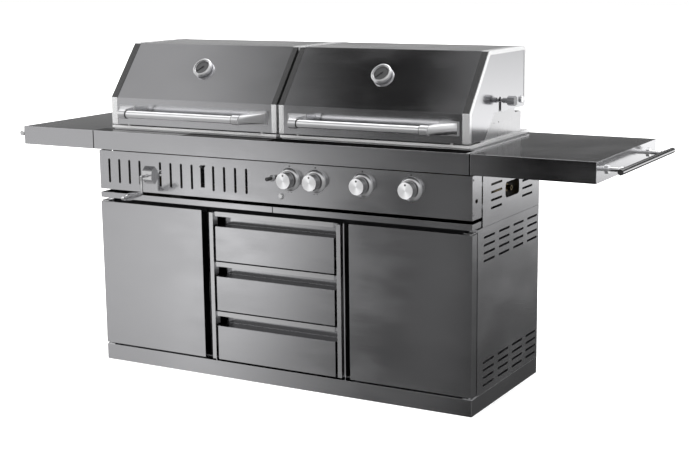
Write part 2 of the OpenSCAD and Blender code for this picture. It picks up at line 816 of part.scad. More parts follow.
// basket for the coals, hung between the guides
module charcoal_tray() {
    x0 = -bay_out + sheet + 10;
    x1 = -bay_in - sheet - 10;
    y0 = bay_y0 + 22;
    y1 = bay_y1 - 22;
    mid = (bay_y0 + bay_y1) / 2;
    color(iron) difference() {
        union() {
            pan([x0, y0, charcoal_z], [x1, y1, charcoal_z + charcoal_tray_h], 3);
            // tongues that run in the guides
            box([x0 - 9, mid - 12, charcoal_z], [x0 + eps, mid + 12, charcoal_z + 30]);
            box([x1 - eps, mid - 12, charcoal_z], [x1 + 9, mid + 12, charcoal_z + 30]);
        }
        for (i = [-8 : 8]) box([-hood_mid + i * 36 - 6, y0 + 20, charcoal_z - 1],
            [-hood_mid + i * 36 + 6, y1 - 20, charcoal_z + 4]);
    }
}

// flap behind the slots, with its lever through the wide opening
module air_damper() {
    half = 38;
    x0 = damper_x0;
    x1 = damper_x1;
    a = atan2(damper_rise, damper_reach);
    color(dull) {
        rod_x(damper_r, x0, x1, damper_y, damper_z);
        box([x0 + 5, damper_y - 1, damper_z - half], [crank_x - 20, damper_y + 1, damper_z + half]);
        box([crank_x + 20, damper_y - 1, damper_z - half], [x1 - 5, damper_y + 1, damper_z + half]);
        translate([damper_x - 5, damper_y, damper_z]) rotate([-a, 0, 0])
            translate([0, -damper_reach / cos(a), -2]) cube([10, damper_reach / cos(a), 4]);
    }
}

// ---- hoods ----

// sheet between two shifts of the hood's outline
module hood_sheet(d0, d1) {
    polygon(concat(shifted(hood_path, d0), reversed(shifted(hood_path, d1))));
}

// a hood's end plate: its lower edge rises behind the front to clear the fixed guard
module hood_end() {
    edge_r = 12;
    difference() {
        polygon(concat(
            [[hood_y0 + 123, hood_z0]], hood_front, hood_top,
            arc([hood_y1 - edge_r, side_edge_z + edge_r], edge_r, 0, -90, 4),
            [[hood_y0 + 203, side_edge_z]]));
        translate([axis_y, axis_z]) circle(hinge_r + fit);
    }
}

// puts children on the sloping front, X along the hood and Z out of the sheet
module on_slope(x) {
    translate([x, dial_y, dial_z]) rotate([slope_a, 0, 0]) children();
}

module hood(spit_notch) {
    t = sheet;
    difference() {
        union() {
            slab_x(hood_x0 + trim, hood_x1 - trim) hood_sheet(0, -t);
            for (x = [hood_x0 + trim, hood_x1 - trim - t])
                slab_x(x, x + t) hood_end();
            // folded lip along the bottom of the front
            box([hood_x0 + trim, hood_y0, hood_z0], [hood_x1 - trim, hood_y0 + 18, hood_z0 + t]);
        }
        on_slope(hood_mid) translate([0, 0, -10]) cylinder(r = 4.2, h = 20);
        if (spit_notch) slab_x(hood_x1 - 10, hood_x1 + 1) {
            translate([spit_y, spit_z]) circle(spit_d / 2 + 6);
            translate([spit_y - spit_d / 2 - 6, side_edge_z - 1])
                square([spit_d + 12, spit_z - side_edge_z + 1]);
        }
    }
}

// angle trims that frame both ends of a hood
module hood_frame(x0, w, end_x) {
    slab_x(x0, x0 + w) hood_sheet(trim, 0);
    slab_x(end_x, end_x + trim) hood_sheet(trim, -side_trim_w);
}

module hood_frames() {
    hood_frame(hood_x0, inner_trim_w, hood_x0);
    hood_frame(hood_x1 - outer_trim_w, outer_trim_w, hood_x1 - trim);
}

module handle_tube() {
    y = hood_y0 - handle_out;
    difference() {
        rod_x(handle_d / 2, handle_x0 + 4, handle_x1 - 4, y, handle_z);
        rod_x(handle_d / 2 - 2, handle_x0 + 3, handle_x1 - 3, y, handle_z);
    }
}

// one cast bracket: a foot on the hood, and a wedge out to the collar round the tube's end
module handle_bracket(end_x, s) {
    y = hood_y0 - handle_out;
    foot_x = s < 0 ? hood_x0 + foot_in : hood_x1 - foot_in - foot_w;
    collar_r = handle_d / 2 + 3.5;
    inner = s < 0 ? end_x : end_x - collar_l;
    wedge_x = s < 0 ? end_x + 3 : end_x - 9;
    difference() {
        union() {
            box([foot_x, hood_y0 - 4, handle_z - foot_h / 2],
                [foot_x + foot_w, hood_y0, handle_z + foot_h / 2]);
            hull() {
                box([foot_x + 5, hood_y0 - 5, handle_z - foot_h / 2 + 5],
                    [foot_x + foot_w - 5, hood_y0 - 3, handle_z + foot_h / 2 - 5]);
                rod_x(collar_r - 2, wedge_x, wedge_x + 6, y, handle_z, $fn = 32);
            }
            rod_x(collar_r, inner, inner + collar_l, y, handle_z);
        }
        rod_x(handle_d / 2, inner + (s < 0 ? 4 : -1), inner + collar_l - (s < 0 ? -1 : 4),
            y, handle_z);
    }
}

module handle_brackets() {
    handle_bracket(handle_x0, -1);
    handle_bracket(handle_x1, 1);
}

module thermometer(x) {
    color(bright) on_slope(x) difference() {
        union() {
            cylinder(r = dial_d / 2 - 6, h = 5);
            translate([0, 0, 5 - eps]) rotate_extrude() polygon([[0, 0], [dial_d / 2 - 2, 0],
                [dial_d / 2, 3], [dial_d / 2, dial_out - 8], [dial_d / 2 - 4, dial_out - 5],
                [0, dial_out - 5]]);
            translate([0, 0, -70]) cylinder(r = 4, h = 72);
        }
        translate([0, 0, dial_out - 5]) cylinder(r = dial_d / 2 - 8, h = 10);
    }
}

// needle at the cold end of its dial, down and to the left
module pointer(x) {
    color(black) on_slope(x) translate([0, 0, dial_out - 4.7]) rotate([0, 0, 135]) {
        cylinder(r = 3, h = 2);
        translate([-1, -8, 0.4]) cube([2, dial_d / 2 - 12 + 8, 1]);
    }
}

module left_hood() { color(steel) mirror([1, 0, 0]) hood(false); }
module left_hood_frames() { color(bright) mirror([1, 0, 0]) hood_frames(); }
module left_handle_tube() { color(bright) mirror([1, 0, 0]) handle_tube(); }
module left_handle_brackets() { color(bright) mirror([1, 0, 0]) handle_brackets(); }
module left_thermometer() { thermometer(-hood_mid); }
module left_pointer() { pointer(-hood_mid); }
module right_hood() { color(steel) hood(true); }
module right_hood_frames() { color(bright) hood_frames(); }
module right_handle_tube() { color(bright) handle_tube(); }
module right_handle_brackets() { color(bright) handle_brackets(); }
module right_thermometer() { thermometer(hood_mid); }
module right_pointer() { pointer(hood_mid); }

// bolts that the hoods turn on, through each end plate and the guard behind it
module hood_hinge_bolts() {
    color(bright) both_sides() for (end = [[hood_x0, 1], [hood_x1, -1]]) {
        head = end == [hood_x0, 1] ? 2 : 6;
        x = end[0];
        s = end[1];
        translate([x, axis_y, axis_z]) rotate([0, s * 90, 0]) {
            translate([0, 0, -head - fit + trim]) cylinder(r = 12.5, h = head);
            translate([0, 0, -fit + trim - eps])
                cylinder(r = hinge_r, h = guard_in + sheet + 6);
            translate([0, 0, guard_in + sheet]) cylinder(r = 9, h = 5);
        }
    }
}

// ---- spit ----

module spit() {
    head_r = 17;
    prong_r = 2.5;
    color(steel) {
        rod_x(spit_d / 2, hood_x0 + guard_in - 2, hood_x1 + 44, spit_y, spit_z);
        // stepped collar, eight-sided head and its locking lever
        rod_x(9, hood_x1 + 10, hood_x1 + 30, spit_y, spit_z);
        rod_x(head_r, hood_x1 + 30, hood_x1 + 56, spit_y, spit_z, $fn = 8);
        translate([hood_x1 + 50, spit_y, spit_z]) rotate([-120, 0, 0]) cylinder(r = 3, h = 26);
        // two forks facing each other
        for (f = [[hood_mid - 170, 1], [hood_mid + 170, -1]]) {
            rod_x(12, f[0] - 10, f[0] + 10, spit_y, spit_z);
            box([f[0] - 3, spit_y - 3, spit_z - 30], [f[0] + 3, spit_y + 3, spit_z + 30]);
            for (s = [-1, 1])
                translate([f[0], spit_y, spit_z + s * 27]) rotate([0, f[1] * 90, 0])
                    cylinder(r = prong_r, h = 95);
        }
    }
}

// ---- drawers, trays and doors ----

// folded front with a finger channel along its top, and the box behind it
module drawer(i) {
    z0 = drawer_z(i);
    z1 = z0 + drawer_front_h;
    front_t = 18;
    box_r = drawer_r - box_clear;
    color(steel) {
        difference() {
            box([-drawer_r, 0, z0], [drawer_r, front_t, z1]);
            box([-drawer_r + sheet, sheet, z0 + sheet],
                [drawer_r - sheet, front_t + 1, z1 - sheet]);
        }
        // liner that closes the front's back
        box([-drawer_r + sheet - eps, front_t - sheet, z0 + sheet - eps],
            [drawer_r - sheet + eps, front_t, z1 - sheet + eps]);
        box([-drawer_r, front_t - eps, z1 - sheet], [drawer_r, pull_depth, z1]);
        box([-drawer_r, pull_depth - sheet, z1 - eps], [drawer_r, pull_depth, z1 + pull_lip]);
        pan([-box_r, front_t - eps, z0 + 8], [box_r, drawer_box_d, z1 - 18], sheet);
        both_sides() box([box_r - eps, 30, runner_z(i) - 11],
            [box_r + 12, drawer_box_d - 30, runner_z(i) + 11]);
    }
}

module drawer_top() { drawer(2); }
module drawer_middle() { drawer(1); }
module drawer_bottom() { drawer(0); }

// shallow tray: its front and one side return show, and a wide pan runs behind them
module bottom_tray() {
    x0 = 1.5;
    x1 = cab_r - 1;
    front_t = 10;
    box([x0, 0, tray_z0], [x1, front_t, tray_z1]);
    box([x1 - sheet, front_t - eps, tray_z0], [x1, 72, tray_z1]);
    pan([x0 + 2, front_t - eps, tray_z0], [x1 - 4, cab_d - 60, tray_z1 - 1], sheet);
    box([x1 - 6, front_t - eps, tray_z0], [x1 - sheet + eps, 60, tray_z1 - 1]);
}

module ash_tray() { color(steel) mirror([1, 0, 0]) bottom_tray(); }
module grease_tray() { color(steel) bottom_tray(); }

// a folded door skin with its liner; the pins of the hinges enter its ends
module door() {
    px = cab_r - pivot_in;
    block = 26;
    difference() {
        union() {
            difference() {
                box([door_x0, 0, door_z0], [cab_r, door_t, door_z1]);
                box([door_x0 + sheet, sheet, door_z0 + sheet],
                    [cab_r - sheet, door_t + 1, door_z1 - sheet]);
            }
            // blocks that hold the hinge pins
            for (z = [door_z0, door_z1 - block])
                box([cab_r - block, sheet - eps, z], [cab_r - sheet + eps, block, z + block]);
        }
        for (z = [door_z0 - 1, door_z1 - pivot_len - 2])
            rod_z(pivot_r + fit, z, z + pivot_len + 3, px, pivot_in);
    }
    // liner
    box([door_x0 + sheet, door_t - sheet, door_z0 + sheet],
        [cab_r - sheet, door_t, door_z1 - sheet]);
}

module left_door() { color(steel) mirror([1, 0, 0]) door(); }
module right_door() { color(steel) door(); }

// pan-head screws that show on the control panel's ends
module panel_screws() {
    side_r = cab_r - 1;
    color(dull) both_sides() for (z = [panel_z0 + 18, panel_z1 - 14]) {
        rod_x(2, side_r - 8, side_r, 8, z);
        rod_x(3.5, side_r, side_r + 1, 8, z);
    }
}

place() plinth();
place() levelling_feet();
place() cabinet_base();
place() side_panels();
place() upper_side_panels();
place() back_panel();
place() cabinet_dividers();
place() drawer_frame();
place() cabinet_runners();
place() heat_shield();
place() door_hinges();
place() worktop();
place() control_panel();
place() knob_bezels();
place() crank_housing();
place() charcoal_firebox();
place() gas_firebox();
place() hood_rims();
place() back_guards();
place() left_shelf();
place() right_shelf();
place() shelf_rails();
place() charcoal_side_grate();
place() gas_side_grate();
place() main_burners();
place() flame_tamers();
place() rear_burner();
place() gas_manifold();
place() panel_screws();
place() hood_hinge_bolts();
place() left_hood();
place() left_hood_frames();
place() left_handle_tube();
place() left_handle_brackets();
place() right_hood();
place() right_hood_frames();
place() right_handle_tube();
place() right_handle_brackets();
place() left_thermometer();
place() left_pointer();
place() right_thermometer();
place() right_pointer();
place() rotisserie_knob();
place() left_burner_knob();
place() middle_burner_knob();
place() right_burner_knob();
place() igniter_button();
place() light_button();
place() crank_arm();
place() crank_grip();
place() charcoal_tray();
place() air_damper();
place() spit();
place() drawer_top();
place() drawer_middle();
place() drawer_bottom();
place() ash_tray();
place() grease_tray();
place() left_door();
place() right_door();
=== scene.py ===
"""Twin-hood barbecue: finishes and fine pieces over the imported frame."""

import json
import math

import bmesh
import bpy
from bpy.props import FloatProperty, FloatVectorProperty, IntProperty, PointerProperty
from mathutils import Matrix, Vector


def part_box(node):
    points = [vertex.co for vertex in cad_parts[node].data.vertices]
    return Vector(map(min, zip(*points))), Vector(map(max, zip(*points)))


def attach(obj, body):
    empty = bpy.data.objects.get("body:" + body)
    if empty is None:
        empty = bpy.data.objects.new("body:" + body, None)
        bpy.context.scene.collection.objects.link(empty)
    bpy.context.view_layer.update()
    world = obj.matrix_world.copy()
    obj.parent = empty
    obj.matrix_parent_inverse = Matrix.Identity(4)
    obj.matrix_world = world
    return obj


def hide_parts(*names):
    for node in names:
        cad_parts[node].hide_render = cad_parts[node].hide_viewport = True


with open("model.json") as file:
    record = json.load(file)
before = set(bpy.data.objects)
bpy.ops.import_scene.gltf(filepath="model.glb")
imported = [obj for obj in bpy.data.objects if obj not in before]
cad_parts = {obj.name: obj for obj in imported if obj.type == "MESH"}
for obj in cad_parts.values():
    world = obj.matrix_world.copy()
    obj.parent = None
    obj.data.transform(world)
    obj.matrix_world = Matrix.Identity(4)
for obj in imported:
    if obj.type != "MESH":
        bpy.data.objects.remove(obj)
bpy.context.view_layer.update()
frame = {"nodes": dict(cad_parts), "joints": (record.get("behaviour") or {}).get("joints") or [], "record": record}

bl_info = {
    "name": "Twin-hood barbecue",
    "version": (1, 0, 0),
    "blender": (4, 5, 0),
    "location": "View3D > Sidebar > Barbecue",
    "description": "Builds the finishes and fine pieces of a twin-hood barbecue",
    "category": "Object",
}

NODES = frame["nodes"]
JOINTS = {joint["name"]: joint for joint in frame["joints"]}
BODY_OF = {node: body for body, nodes in frame["record"]["behaviour"]["bodies"].items()
           for node in nodes}
CABINET = BODY_OF["worktop"]

ORIGIN = (0.0, 0.0, 0.0)
UNIT = (1.0, 1.0, 1.0)


# ---- sizes read from the frame ----

def span(node):
    """Lowest and highest corner of a node, as vectors."""
    low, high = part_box(node)
    return Vector(low), Vector(high)


def middle(node):
    """Middle of a node's box."""
    low, high = span(node)
    return (low + high) / 2


# ---- shader building ----

class Value:
    """A socket that takes part in sums; each operator or method adds its node."""

    def __init__(self, shader, socket):
        self.shader = shader
        self.socket = socket

    def _math(self, operation, *values):
        return self.shader.node("ShaderNodeMath", {"operation": operation},
                                dict(enumerate(values))).value(0)

    def __add__(self, other):
        return self._math("ADD", self, other)

    __radd__ = __add__

    def __mul__(self, other):
        return self._math("MULTIPLY", self, other)

    __rmul__ = __mul__

    def __sub__(self, other):
        return self._math("SUBTRACT", self, other)

    def __rsub__(self, other):
        return self._math("SUBTRACT", other, self)

    def __pow__(self, other):
        return self._math("POWER", self, other)

    def __gt__(self, other):
        return self._math("GREATER_THAN", self, other)

    def __lt__(self, other):
        return self._math("LESS_THAN", self, other)

    def sine(self):
        """Sine of an angle in radians."""
        return self._math("SINE", self)

    def cosine(self):
        """Cosine of an angle in radians."""
        return self._math("COSINE", self)

    def angle(self, other):
        """Angle in radians whose tangent is this value over the other."""
        return self._math("ARCTAN2", self, other)

    def smooth(self, low, high):
        """0 below low, 1 above high and a smooth rise between."""
        node = self.shader.node("ShaderNodeMapRange", {"interpolation_type": "SMOOTHSTEP"},
                                {"Value": self, "From Min": low, "From Max": high,
                                 "To Min": 0.0, "To Max": 1.0})
        return node.value("Result")


class Node:
    """A shader node whose outputs are read by name or number."""

    def __init__(self, shader, node):
        self.shader = shader
        self.raw = node

    def value(self, key=0):
        """One output of the node."""
        return Value(self.shader, self.raw.outputs[key])


class Shader:
    """Adds nodes to one material or world."""

    def __init__(self, tree):
        self.tree = tree
        tree.nodes.clear()

    def node(self, kind, settings=None, inputs=None):
        """Adds a node: its settings or colour stops first, then what its sockets hold."""
        node = self.tree.nodes.new(kind)
        for key, value in (settings or {}).items():
            if key == "stops":
                elements = node.color_ramp.elements
                while len(elements) > 1:
                    elements.remove(elements[0])
                for i, (place, grey) in enumerate(value):
                    stop = elements[0] if i == 0 else elements.new(place)
                    stop.position = place
                    stop.color = (grey, grey, grey, 1.0)
            else:
                setattr(node, key, value)
        for key, value in (inputs or {}).items():
            if isinstance(value, Value):
                self.tree.links.new(value.socket, node.inputs[key])
            else:
                node.inputs[key].default_value = value
        return Node(self, node)

    def mix(self, factor, first, second):
        """A colour between two colours."""
        node = self.node("ShaderNodeMix", {"data_type": "RGBA"},
                         {0: factor, 6: first, 7: second})
        return node.value(2)

    def place(self, scale=UNIT, shift=ORIGIN):
        """Object coordinates, scaled and shifted."""
        coords = self.node("ShaderNodeTexCoord").value("Object")
        return self.node("ShaderNodeMapping", {"vector_type": "POINT"},
                         {"Vector": coords, "Location": shift, "Scale": scale}).value(0)

    def parts(self, vector):
        """The X, Y and Z of a vector."""
        node = self.node("ShaderNodeSeparateXYZ", None, {0: vector})
        return tuple(node.value(i) for i in range(3))

    def inside(self, low, high):
        """1 inside a box given in Object coordinates and 0 outside it."""
        within = 1.0
        for part, least, most in zip(self.parts(self.place()), low, high):
            within = (part > least) * (part < most) * within
        return within

    def ramp(self, value, stops):
        """A grey that follows a value through stops, each a place and its grey."""
        low, high = stops[0][0], stops[-1][0]
        place = self.node("ShaderNodeMapRange", None,
                          {"Value": value, "From Min": low, "From Max": high,
                           "To Min": 0.0, "To Max": 1.0}).value(0)
        scaled = [((p - low) / (high - low), grey) for p, grey in stops]
        return self.node("ShaderNodeValToRGB", {"stops": scaled}, {0: place}).value(0)

    def noise(self, vector, scale, detail=2.0, rough=0.5):
        """Noise from 0 to 1."""
        return self.node("ShaderNodeTexNoise", {"noise_dimensions": "3D"},
                         {"Vector": vector, "Scale": scale, "Detail": detail,
                          "Roughness": rough}).value(0)

    def bump(self, height, strength, distance):
        """A normal that follows a height."""
        return self.node("ShaderNodeBump", None,
                         {"Height": height, "Strength": strength,
                          "Distance": distance}).value(0)

    def skin(self, base, metallic, roughness, relief, coat=0.0):
        """A surface whose bumps follow relief: a height, its strength and its distance."""
        return self.node("ShaderNodeBsdfPrincipled", None,
                         {"Base Color": base, "Metallic": metallic, "Roughness": roughness,
                          "Coat Weight": coat, "Normal": self.bump(*relief)}).value(0)

    def output(self, surface, kind="ShaderNodeOutputMaterial"):
        """Links the surface to the output."""
        self.node(kind, None, {"Surface": surface})


def rgba(colour, k=1.0):
    """A colour times a number, with full alpha."""
    return (colour[0] * k, colour[1] * k, colour[2] * k, 1.0)


def new_shader(name):
    """An empty material and its shader builder; an old one of that name is made afresh."""
    material = bpy.data.materials.get(name) or bpy.data.materials.new(name)
    material.use_nodes = True
    return material, Shader(material.node_tree)


def brushed_steel(name, colour, roughness, along="X", grain=0.5, smudge=0.06, painted_shades=None,
                  metal=1.0):
    """Stainless steel with grain lines along one axis and faint wiping marks.

    Boxes (low, high, strength) may be given in which the steel is painted near-black: painted shade in joints,
    gaps and recesses, and painted dark reflections.
    """
    material, s = new_shader(name)
    across, lengthwise = 900.0, 5.0
    scale = tuple(lengthwise if axis == along else across for axis in "XYZ")
    grain_lines = s.noise(s.place(scale), 1.0, 3.0, 0.6)
    wipes = s.noise(s.place((1.2, 1.2, 3.0)), 2.2, 3.0, 0.55)
    cloudy = wipes.smooth(0.35, 0.7)
    tone = grain_lines * 0.7 + cloudy * 0.3
    base = s.mix(tone, rgba(colour, 0.92), rgba(colour, 1.06))
    rough = roughness + (grain_lines - 0.5) * (0.16 * grain) + (cloudy - 0.5) * smudge
    surface = s.skin(base, metal, rough, (grain_lines, 0.10 * grain, 0.0004))
    # Painted shade: a near-black surface is mixed in over each box.
    if painted_shades:
        dark = s.node("ShaderNodeBsdfPrincipled", None,
                      {"Base Color": (0.004, 0.004, 0.004, 1.0), "Roughness": 0.9,
                       "Specular IOR Level": 0.0})
        shade = 0.0
        for low, high, strength in painted_shades:
            shade = s.inside(low, high) * strength + shade
        surface = s.node("ShaderNodeMixShader", None,
                         {0: shade, 1: surface, 2: dark.value(0)}).value(0)
    s.output(surface)
    return material


def spun_steel_painted_fan(name, colour, roughness, centre, axis, depth):
    """Steel turned on a lathe: fine rings, with a painted highlight fanning out in sectors.

    The face, depth before the centre along the axis, is brushed paler than the side.
    """
    material, s = new_shader(name)
    parts = s.parts(s.place(shift=tuple(-c for c in centre)))
    u, v = (part for i, part in enumerate(parts) if i != axis)
    rings_per_metre, edge = 9000.0, 0.0002
    rings = ((u * u + v * v) ** 0.5 * rings_per_metre).sine()
    # Painted highlight: the base colour brightens and darkens in sectors round the centre.
    painted_fan_highlight = (u.angle(v) * 2.0 + 0.6).cosine() * 0.5 + 0.5
    side = parts[axis].smooth(-depth - edge, -depth + edge)
    base = s.mix(painted_fan_highlight ** 2.0, rgba(colour, 0.78), rgba(colour, 1.18))
    s.output(s.skin(base, 0.35 + side * 0.65, roughness + painted_fan_highlight * 0.08, (rings, 0.06, 0.0003)))
    return material


def polished_steel(name, colour, roughness):
    """Polished stainless with very fine scratches."""
    material, s = new_shader(name)
    scratches = s.noise(s.place((60.0, 700.0, 700.0)), 1.0, 2.0, 0.5)
    dull = s.noise(s.place((8.0, 8.0, 8.0)), 2.0, 2.0, 0.5).smooth(0.45, 0.75)
    base = s.mix(dull, rgba(colour, 1.0), rgba(colour, 0.93))
    rough = roughness + (scratches - 0.5) * 0.06 + dull * 0.05
    s.output(s.skin(base, 1.0, rough, (scratches, 0.03, 0.0002)))
    return material


def heat_marked(name, colour):
    """Steel dulled by heat, with straw and blue tints in patches."""
    material, s = new_shader(name)
    patches = s.noise(s.place((5.0, 5.0, 7.0)), 1.6, 4.0, 0.6)
    speckle = s.noise(s.place((160.0, 160.0, 160.0)), 1.0, 2.0, 0.6)
    straw = s.mix(patches.smooth(0.42, 0.62), rgba(colour), (0.15, 0.115, 0.07, 1.0))
    tint = s.mix(patches.smooth(0.60, 0.74), straw, (0.07, 0.08, 0.11, 1.0))
    base = s.mix(speckle.smooth(0.5, 0.8) * 0.4, tint, (0.04, 0.036, 0.032, 1.0))
    s.output(s.skin(base, 0.85, 0.42 + speckle * 0.2, (speckle, 0.15, 0.0006)))
    return material


def cast_iron(name, colour):
    """Seasoned iron with a pebbled skin."""
    material, s = new_shader(name)
    pebbles = s.noise(s.place((420.0, 420.0, 420.0)), 1.0, 3.0, 0.6)
    oil = s.noise(s.place((14.0, 14.0, 14.0)), 1.0, 3.0, 0.5)
    base = s.mix(oil.smooth(0.4, 0.7), rgba(colour, 0.8), rgba(colour, 1.5))
    rough = 0.52 + (pebbles - 0.5) * 0.2 - oil * 0.1
    s.output(s.skin(base, 0.4, rough, (pebbles, 0.35, 0.0008)))
    return material


def zinc_plate(name, colour):
    """Zinc-plated steel with a faint spangle."""
    material, s = new_shader(name)
    cells = s.node("ShaderNodeTexVoronoi", {"feature": "F1"},
                   {"Vector": s.place((70.0, 70.0, 70.0)), "Scale": 1.0})
    flakes = s.node("ShaderNodeSeparateColor", None, {0: cells.value("Color")}).value(0)
    dust = s.noise(s.place((260.0, 260.0, 260.0)), 1.0, 2.0, 0.5)
    base = s.mix(flakes, rgba(colour, 0.85), rgba(colour, 1.12))
    rough = 0.38 + flakes * 0.12 + dust * 0.06
    s.output(s.skin(base, 0.9, rough, (dust, 0.08, 0.0004)))
    return material


def brass(name, colour):
    """Machined brass with turning marks and a little tarnish."""
    material, s = new_shader(name)
    turning = s.noise(s.place((900.0, 90.0, 90.0)), 1.0, 2.0, 0.5)
    tarnish = s.noise(s.place((18.0, 18.0, 18.0)), 1.5, 4.0, 0.6).smooth(0.5, 0.8)
    base = s.mix(tarnish, rgba(colour), rgba(colour, 0.55))
    rough = 0.26 + tarnish * 0.25 + turning * 0.08
    s.output(s.skin(base, 1.0, rough, (turning, 0.05, 0.0003)))
    return material


def moulded_black(name, colour, roughness, coat=0.0):
    """Black moulding or paint with a fine texture."""
    material, s = new_shader(name)
    pores = s.noise(s.place((900.0, 900.0, 900.0)), 1.0, 2.0, 0.6)
    worn = s.noise(s.place((30.0, 30.0, 30.0)), 1.0, 3.0, 0.5).smooth(0.55, 0.8)
    base = s.mix(worn * 0.5, rgba(colour), rgba((0.06, 0.06, 0.062)))
    rough = roughness + (pores - 0.5) * 0.12
    s.output(s.skin(base, 0.0, rough, (pores, 0.12, 0.0003), coat))
    return material


# ---- finishes: one per kind of surface ----

FINISH = {}


BEYOND = 1.0    # a box that reaches this far past the object has no end on that side


def painted_shade_runs():
    """Runs along X in which the painted shade before the rims is painted darker towards the right."""
    stops = [span("worktop")[0].x, middle("left_hood").x, -0.05, span("right_hood")[1].x + 0.02]
    return list(zip(stops, stops[1:], (0.50, 0.85, 1.0)))


def worktop_painted_shades():
    """Boxes of painted shade on the worktop: before the rims and where the shelves start."""
    low = span("worktop")[0]
    top = span("left_shelf")[1].z
    rim = span("hood_rims")[0]
    fold, skin, foot = 0.0012, 0.0010, 0.002
    painted_shades = [((start, low.y + fold, top - skin), (stop, rim.y + foot, top + BEYOND), strength)
             for start, stop, strength in painted_shade_runs()]
    half, depth = 0.0016, 0.02
    for x in (span("left_shelf")[1].x, span("right_shelf")[0].x):
        painted_shades.append(((x - half, low.y - BEYOND, low.z - BEYOND),
                      (x + half, low.y + depth, top + BEYOND), 1.0))
    return painted_shades


def rim_painted_shades():
    """Boxes of painted shade at the foot of the rims' fronts."""
    low = span("hood_rims")[0]
    top = span("left_shelf")[1].z
    depth, height = 0.004, 0.0048
    return [((start, low.y - BEYOND, low.z - BEYOND), (stop, low.y + depth, top + height),
             strength) for start, stop, strength in painted_shade_runs()]


def drawer_painted_shades():
    """Boxes of painted shade in the pulls over the three drawer fronts."""
    bottom, top = (corner.z for corner in span("left_door"))
    front = span("drawer_top")[0].y
    row_gap, rail, rows = 0.0045, 0.017, 3
    near, far, shade_top, shade_foot = 0.004, 0.055, 0.013, 0.040
    pitch = (top - bottom + row_gap) / rows
    painted_shades = []
    for row in range(rows):
        gap_top = top - row * pitch - rail
        painted_shades.append(((-BEYOND, front + near, gap_top - shade_foot),
                      (BEYOND, front + far, gap_top - shade_top), 0.85))
    return painted_shades


def frame_painted_reflections():
    """Boxes of painted dark reflection on the hoods' end frames: their slopes, but not the last one."""
    lip, reach, edge = 0.101, 0.160, 0.003
    painted_shades = []
    for side, short in (("left", -0.001), ("right", 0.0025)):
        low, high = span(side + "_hood_frames")
        painted_shades.append(((low.x - 0.001, low.y - BEYOND, low.z + lip),
                      (high.x - short, low.y + reach, high.z - edge), 0.88))
    return painted_shades


def make_finishes(size):
    """Makes every material of the object."""
    panel, trim = tuple(size.panel_colour), tuple(size.trim_colour)
    FINISH.update(
        front=brushed_steel("brushed_front", panel, size.panel_roughness, "X"),
        side=brushed_steel("brushed_side", panel, size.panel_roughness + 0.05, "Y"),
        inside=brushed_steel("brushed_inside", tuple(c * 0.8 for c in panel), 0.34, "Z", 0.4),
        # The drawer finish carries painted shade in the pulls.
        drawer=brushed_steel("brushed_drawer_painted_shade", panel, size.panel_roughness, "X",
                             painted_shades=drawer_painted_shades()),
        # The rim finish carries painted shade at the foot of its front.
        rim=brushed_steel("bright_rim_painted_shade", (1.0, 1.0, 1.0), 0.22, "X", 0.3, 0.03,
                          painted_shades=rim_painted_shades(), metal=0.40),
        # The end frames' finish carries a painted dark reflection on their slopes.
        frames=brushed_steel("brushed_frames_painted_reflection", (0.96, 0.96, 0.965), 0.22, "Z", 0.3, 0.03,
                             painted_shades=frame_painted_reflections(), metal=0.78),
        case=brushed_steel("brushed_case", trim, 0.34, "X", 0.4, 0.03),
        dark=brushed_steel("darkened_steel", (0.30, 0.30, 0.31), 0.28, "X", 0.5, 0.05),
        # Near-black steel, painted for the shade seen inside the cabinet.
        shade=brushed_steel("painted_shade_steel", (0.035, 0.035, 0.037), 0.45, "Z", 0.4),
        # The worktop finish carries painted shade before the rims and at the shelves.
        worktop=brushed_steel("brushed_worktop_painted_shade", panel, size.panel_roughness, "X",
                              painted_shades=worktop_painted_shades()),
        trim=brushed_steel("brushed_trim", trim, 0.20, "X", 0.35, 0.03),
        guard=brushed_steel("brushed_guard", trim, 0.30, "Z", 0.5, 0.04),
        polished=polished_steel("polished_steel", trim, 0.13),
        tube=brushed_steel("brushed_tube", tuple(min(1.0, c * 1.2) for c in trim), 0.32, "X",
                           0.4, 0.03),
        zinc=zinc_plate("zinc_plate", (0.46, 0.46, 0.48)),
        heat=heat_marked("heat_marked_steel", (0.12, 0.115, 0.11)),
        iron=cast_iron("cast_iron", (0.045, 0.045, 0.048)),
        brass=brass("machined_brass", (0.22, 0.165, 0.08)),
        plastic=moulded_black("black_button", (0.012, 0.012, 0.013), 0.30, 0.3),
        black=moulded_black("black_ink", (0.006, 0.006, 0.006), 0.55),
        dial=brushed_steel("dial_face", (0.20, 0.20, 0.205), 0.40, "X", 0.6),
        rubber=moulded_black("black_rubber", (0.02, 0.02, 0.02), 0.7),
    )


# ---- mesh building ----

ROUNDED_SHARP = 50.0    # degrees above which an edge of a rounded piece stays sharp
WELD = 3e-6             # metres within which two vertices are one
FLAT = 0.4              # degrees below which two faces are one
ON_AXIS = 1e-7          # metres within which a profile's point is on the axis


def new_object(name, mesh):
    """An object at the origin that holds the mesh."""
    obj = bpy.data.objects.new(name, mesh)
    bpy.context.scene.collection.objects.link(obj)
    return obj


def paint(obj, finish):
    """Gives the whole object one finish."""
    obj.data.materials.clear()
    obj.data.materials.append(FINISH[finish])


def bake(obj):
    """Turns the evaluated object into a plain mesh and drops its modifiers."""
    bpy.context.view_layer.update()
    graph = bpy.context.evaluated_depsgraph_get()
    mesh = bpy.data.meshes.new_from_object(obj.evaluated_get(graph))
    obj.modifiers.clear()
    obj.data = mesh
    return obj


def finished_mesh(bm, name):
    """Writes a bmesh to a new mesh and frees it."""
    mesh = bpy.data.meshes.new(name)
    bm.to_mesh(mesh)
    bm.free()
    return mesh


def joined(name, meshes):
    """One mesh that holds several."""
    bm = bmesh.new()
    for mesh in meshes:
        bm.from_mesh(mesh)
    return finished_mesh(bm, name)


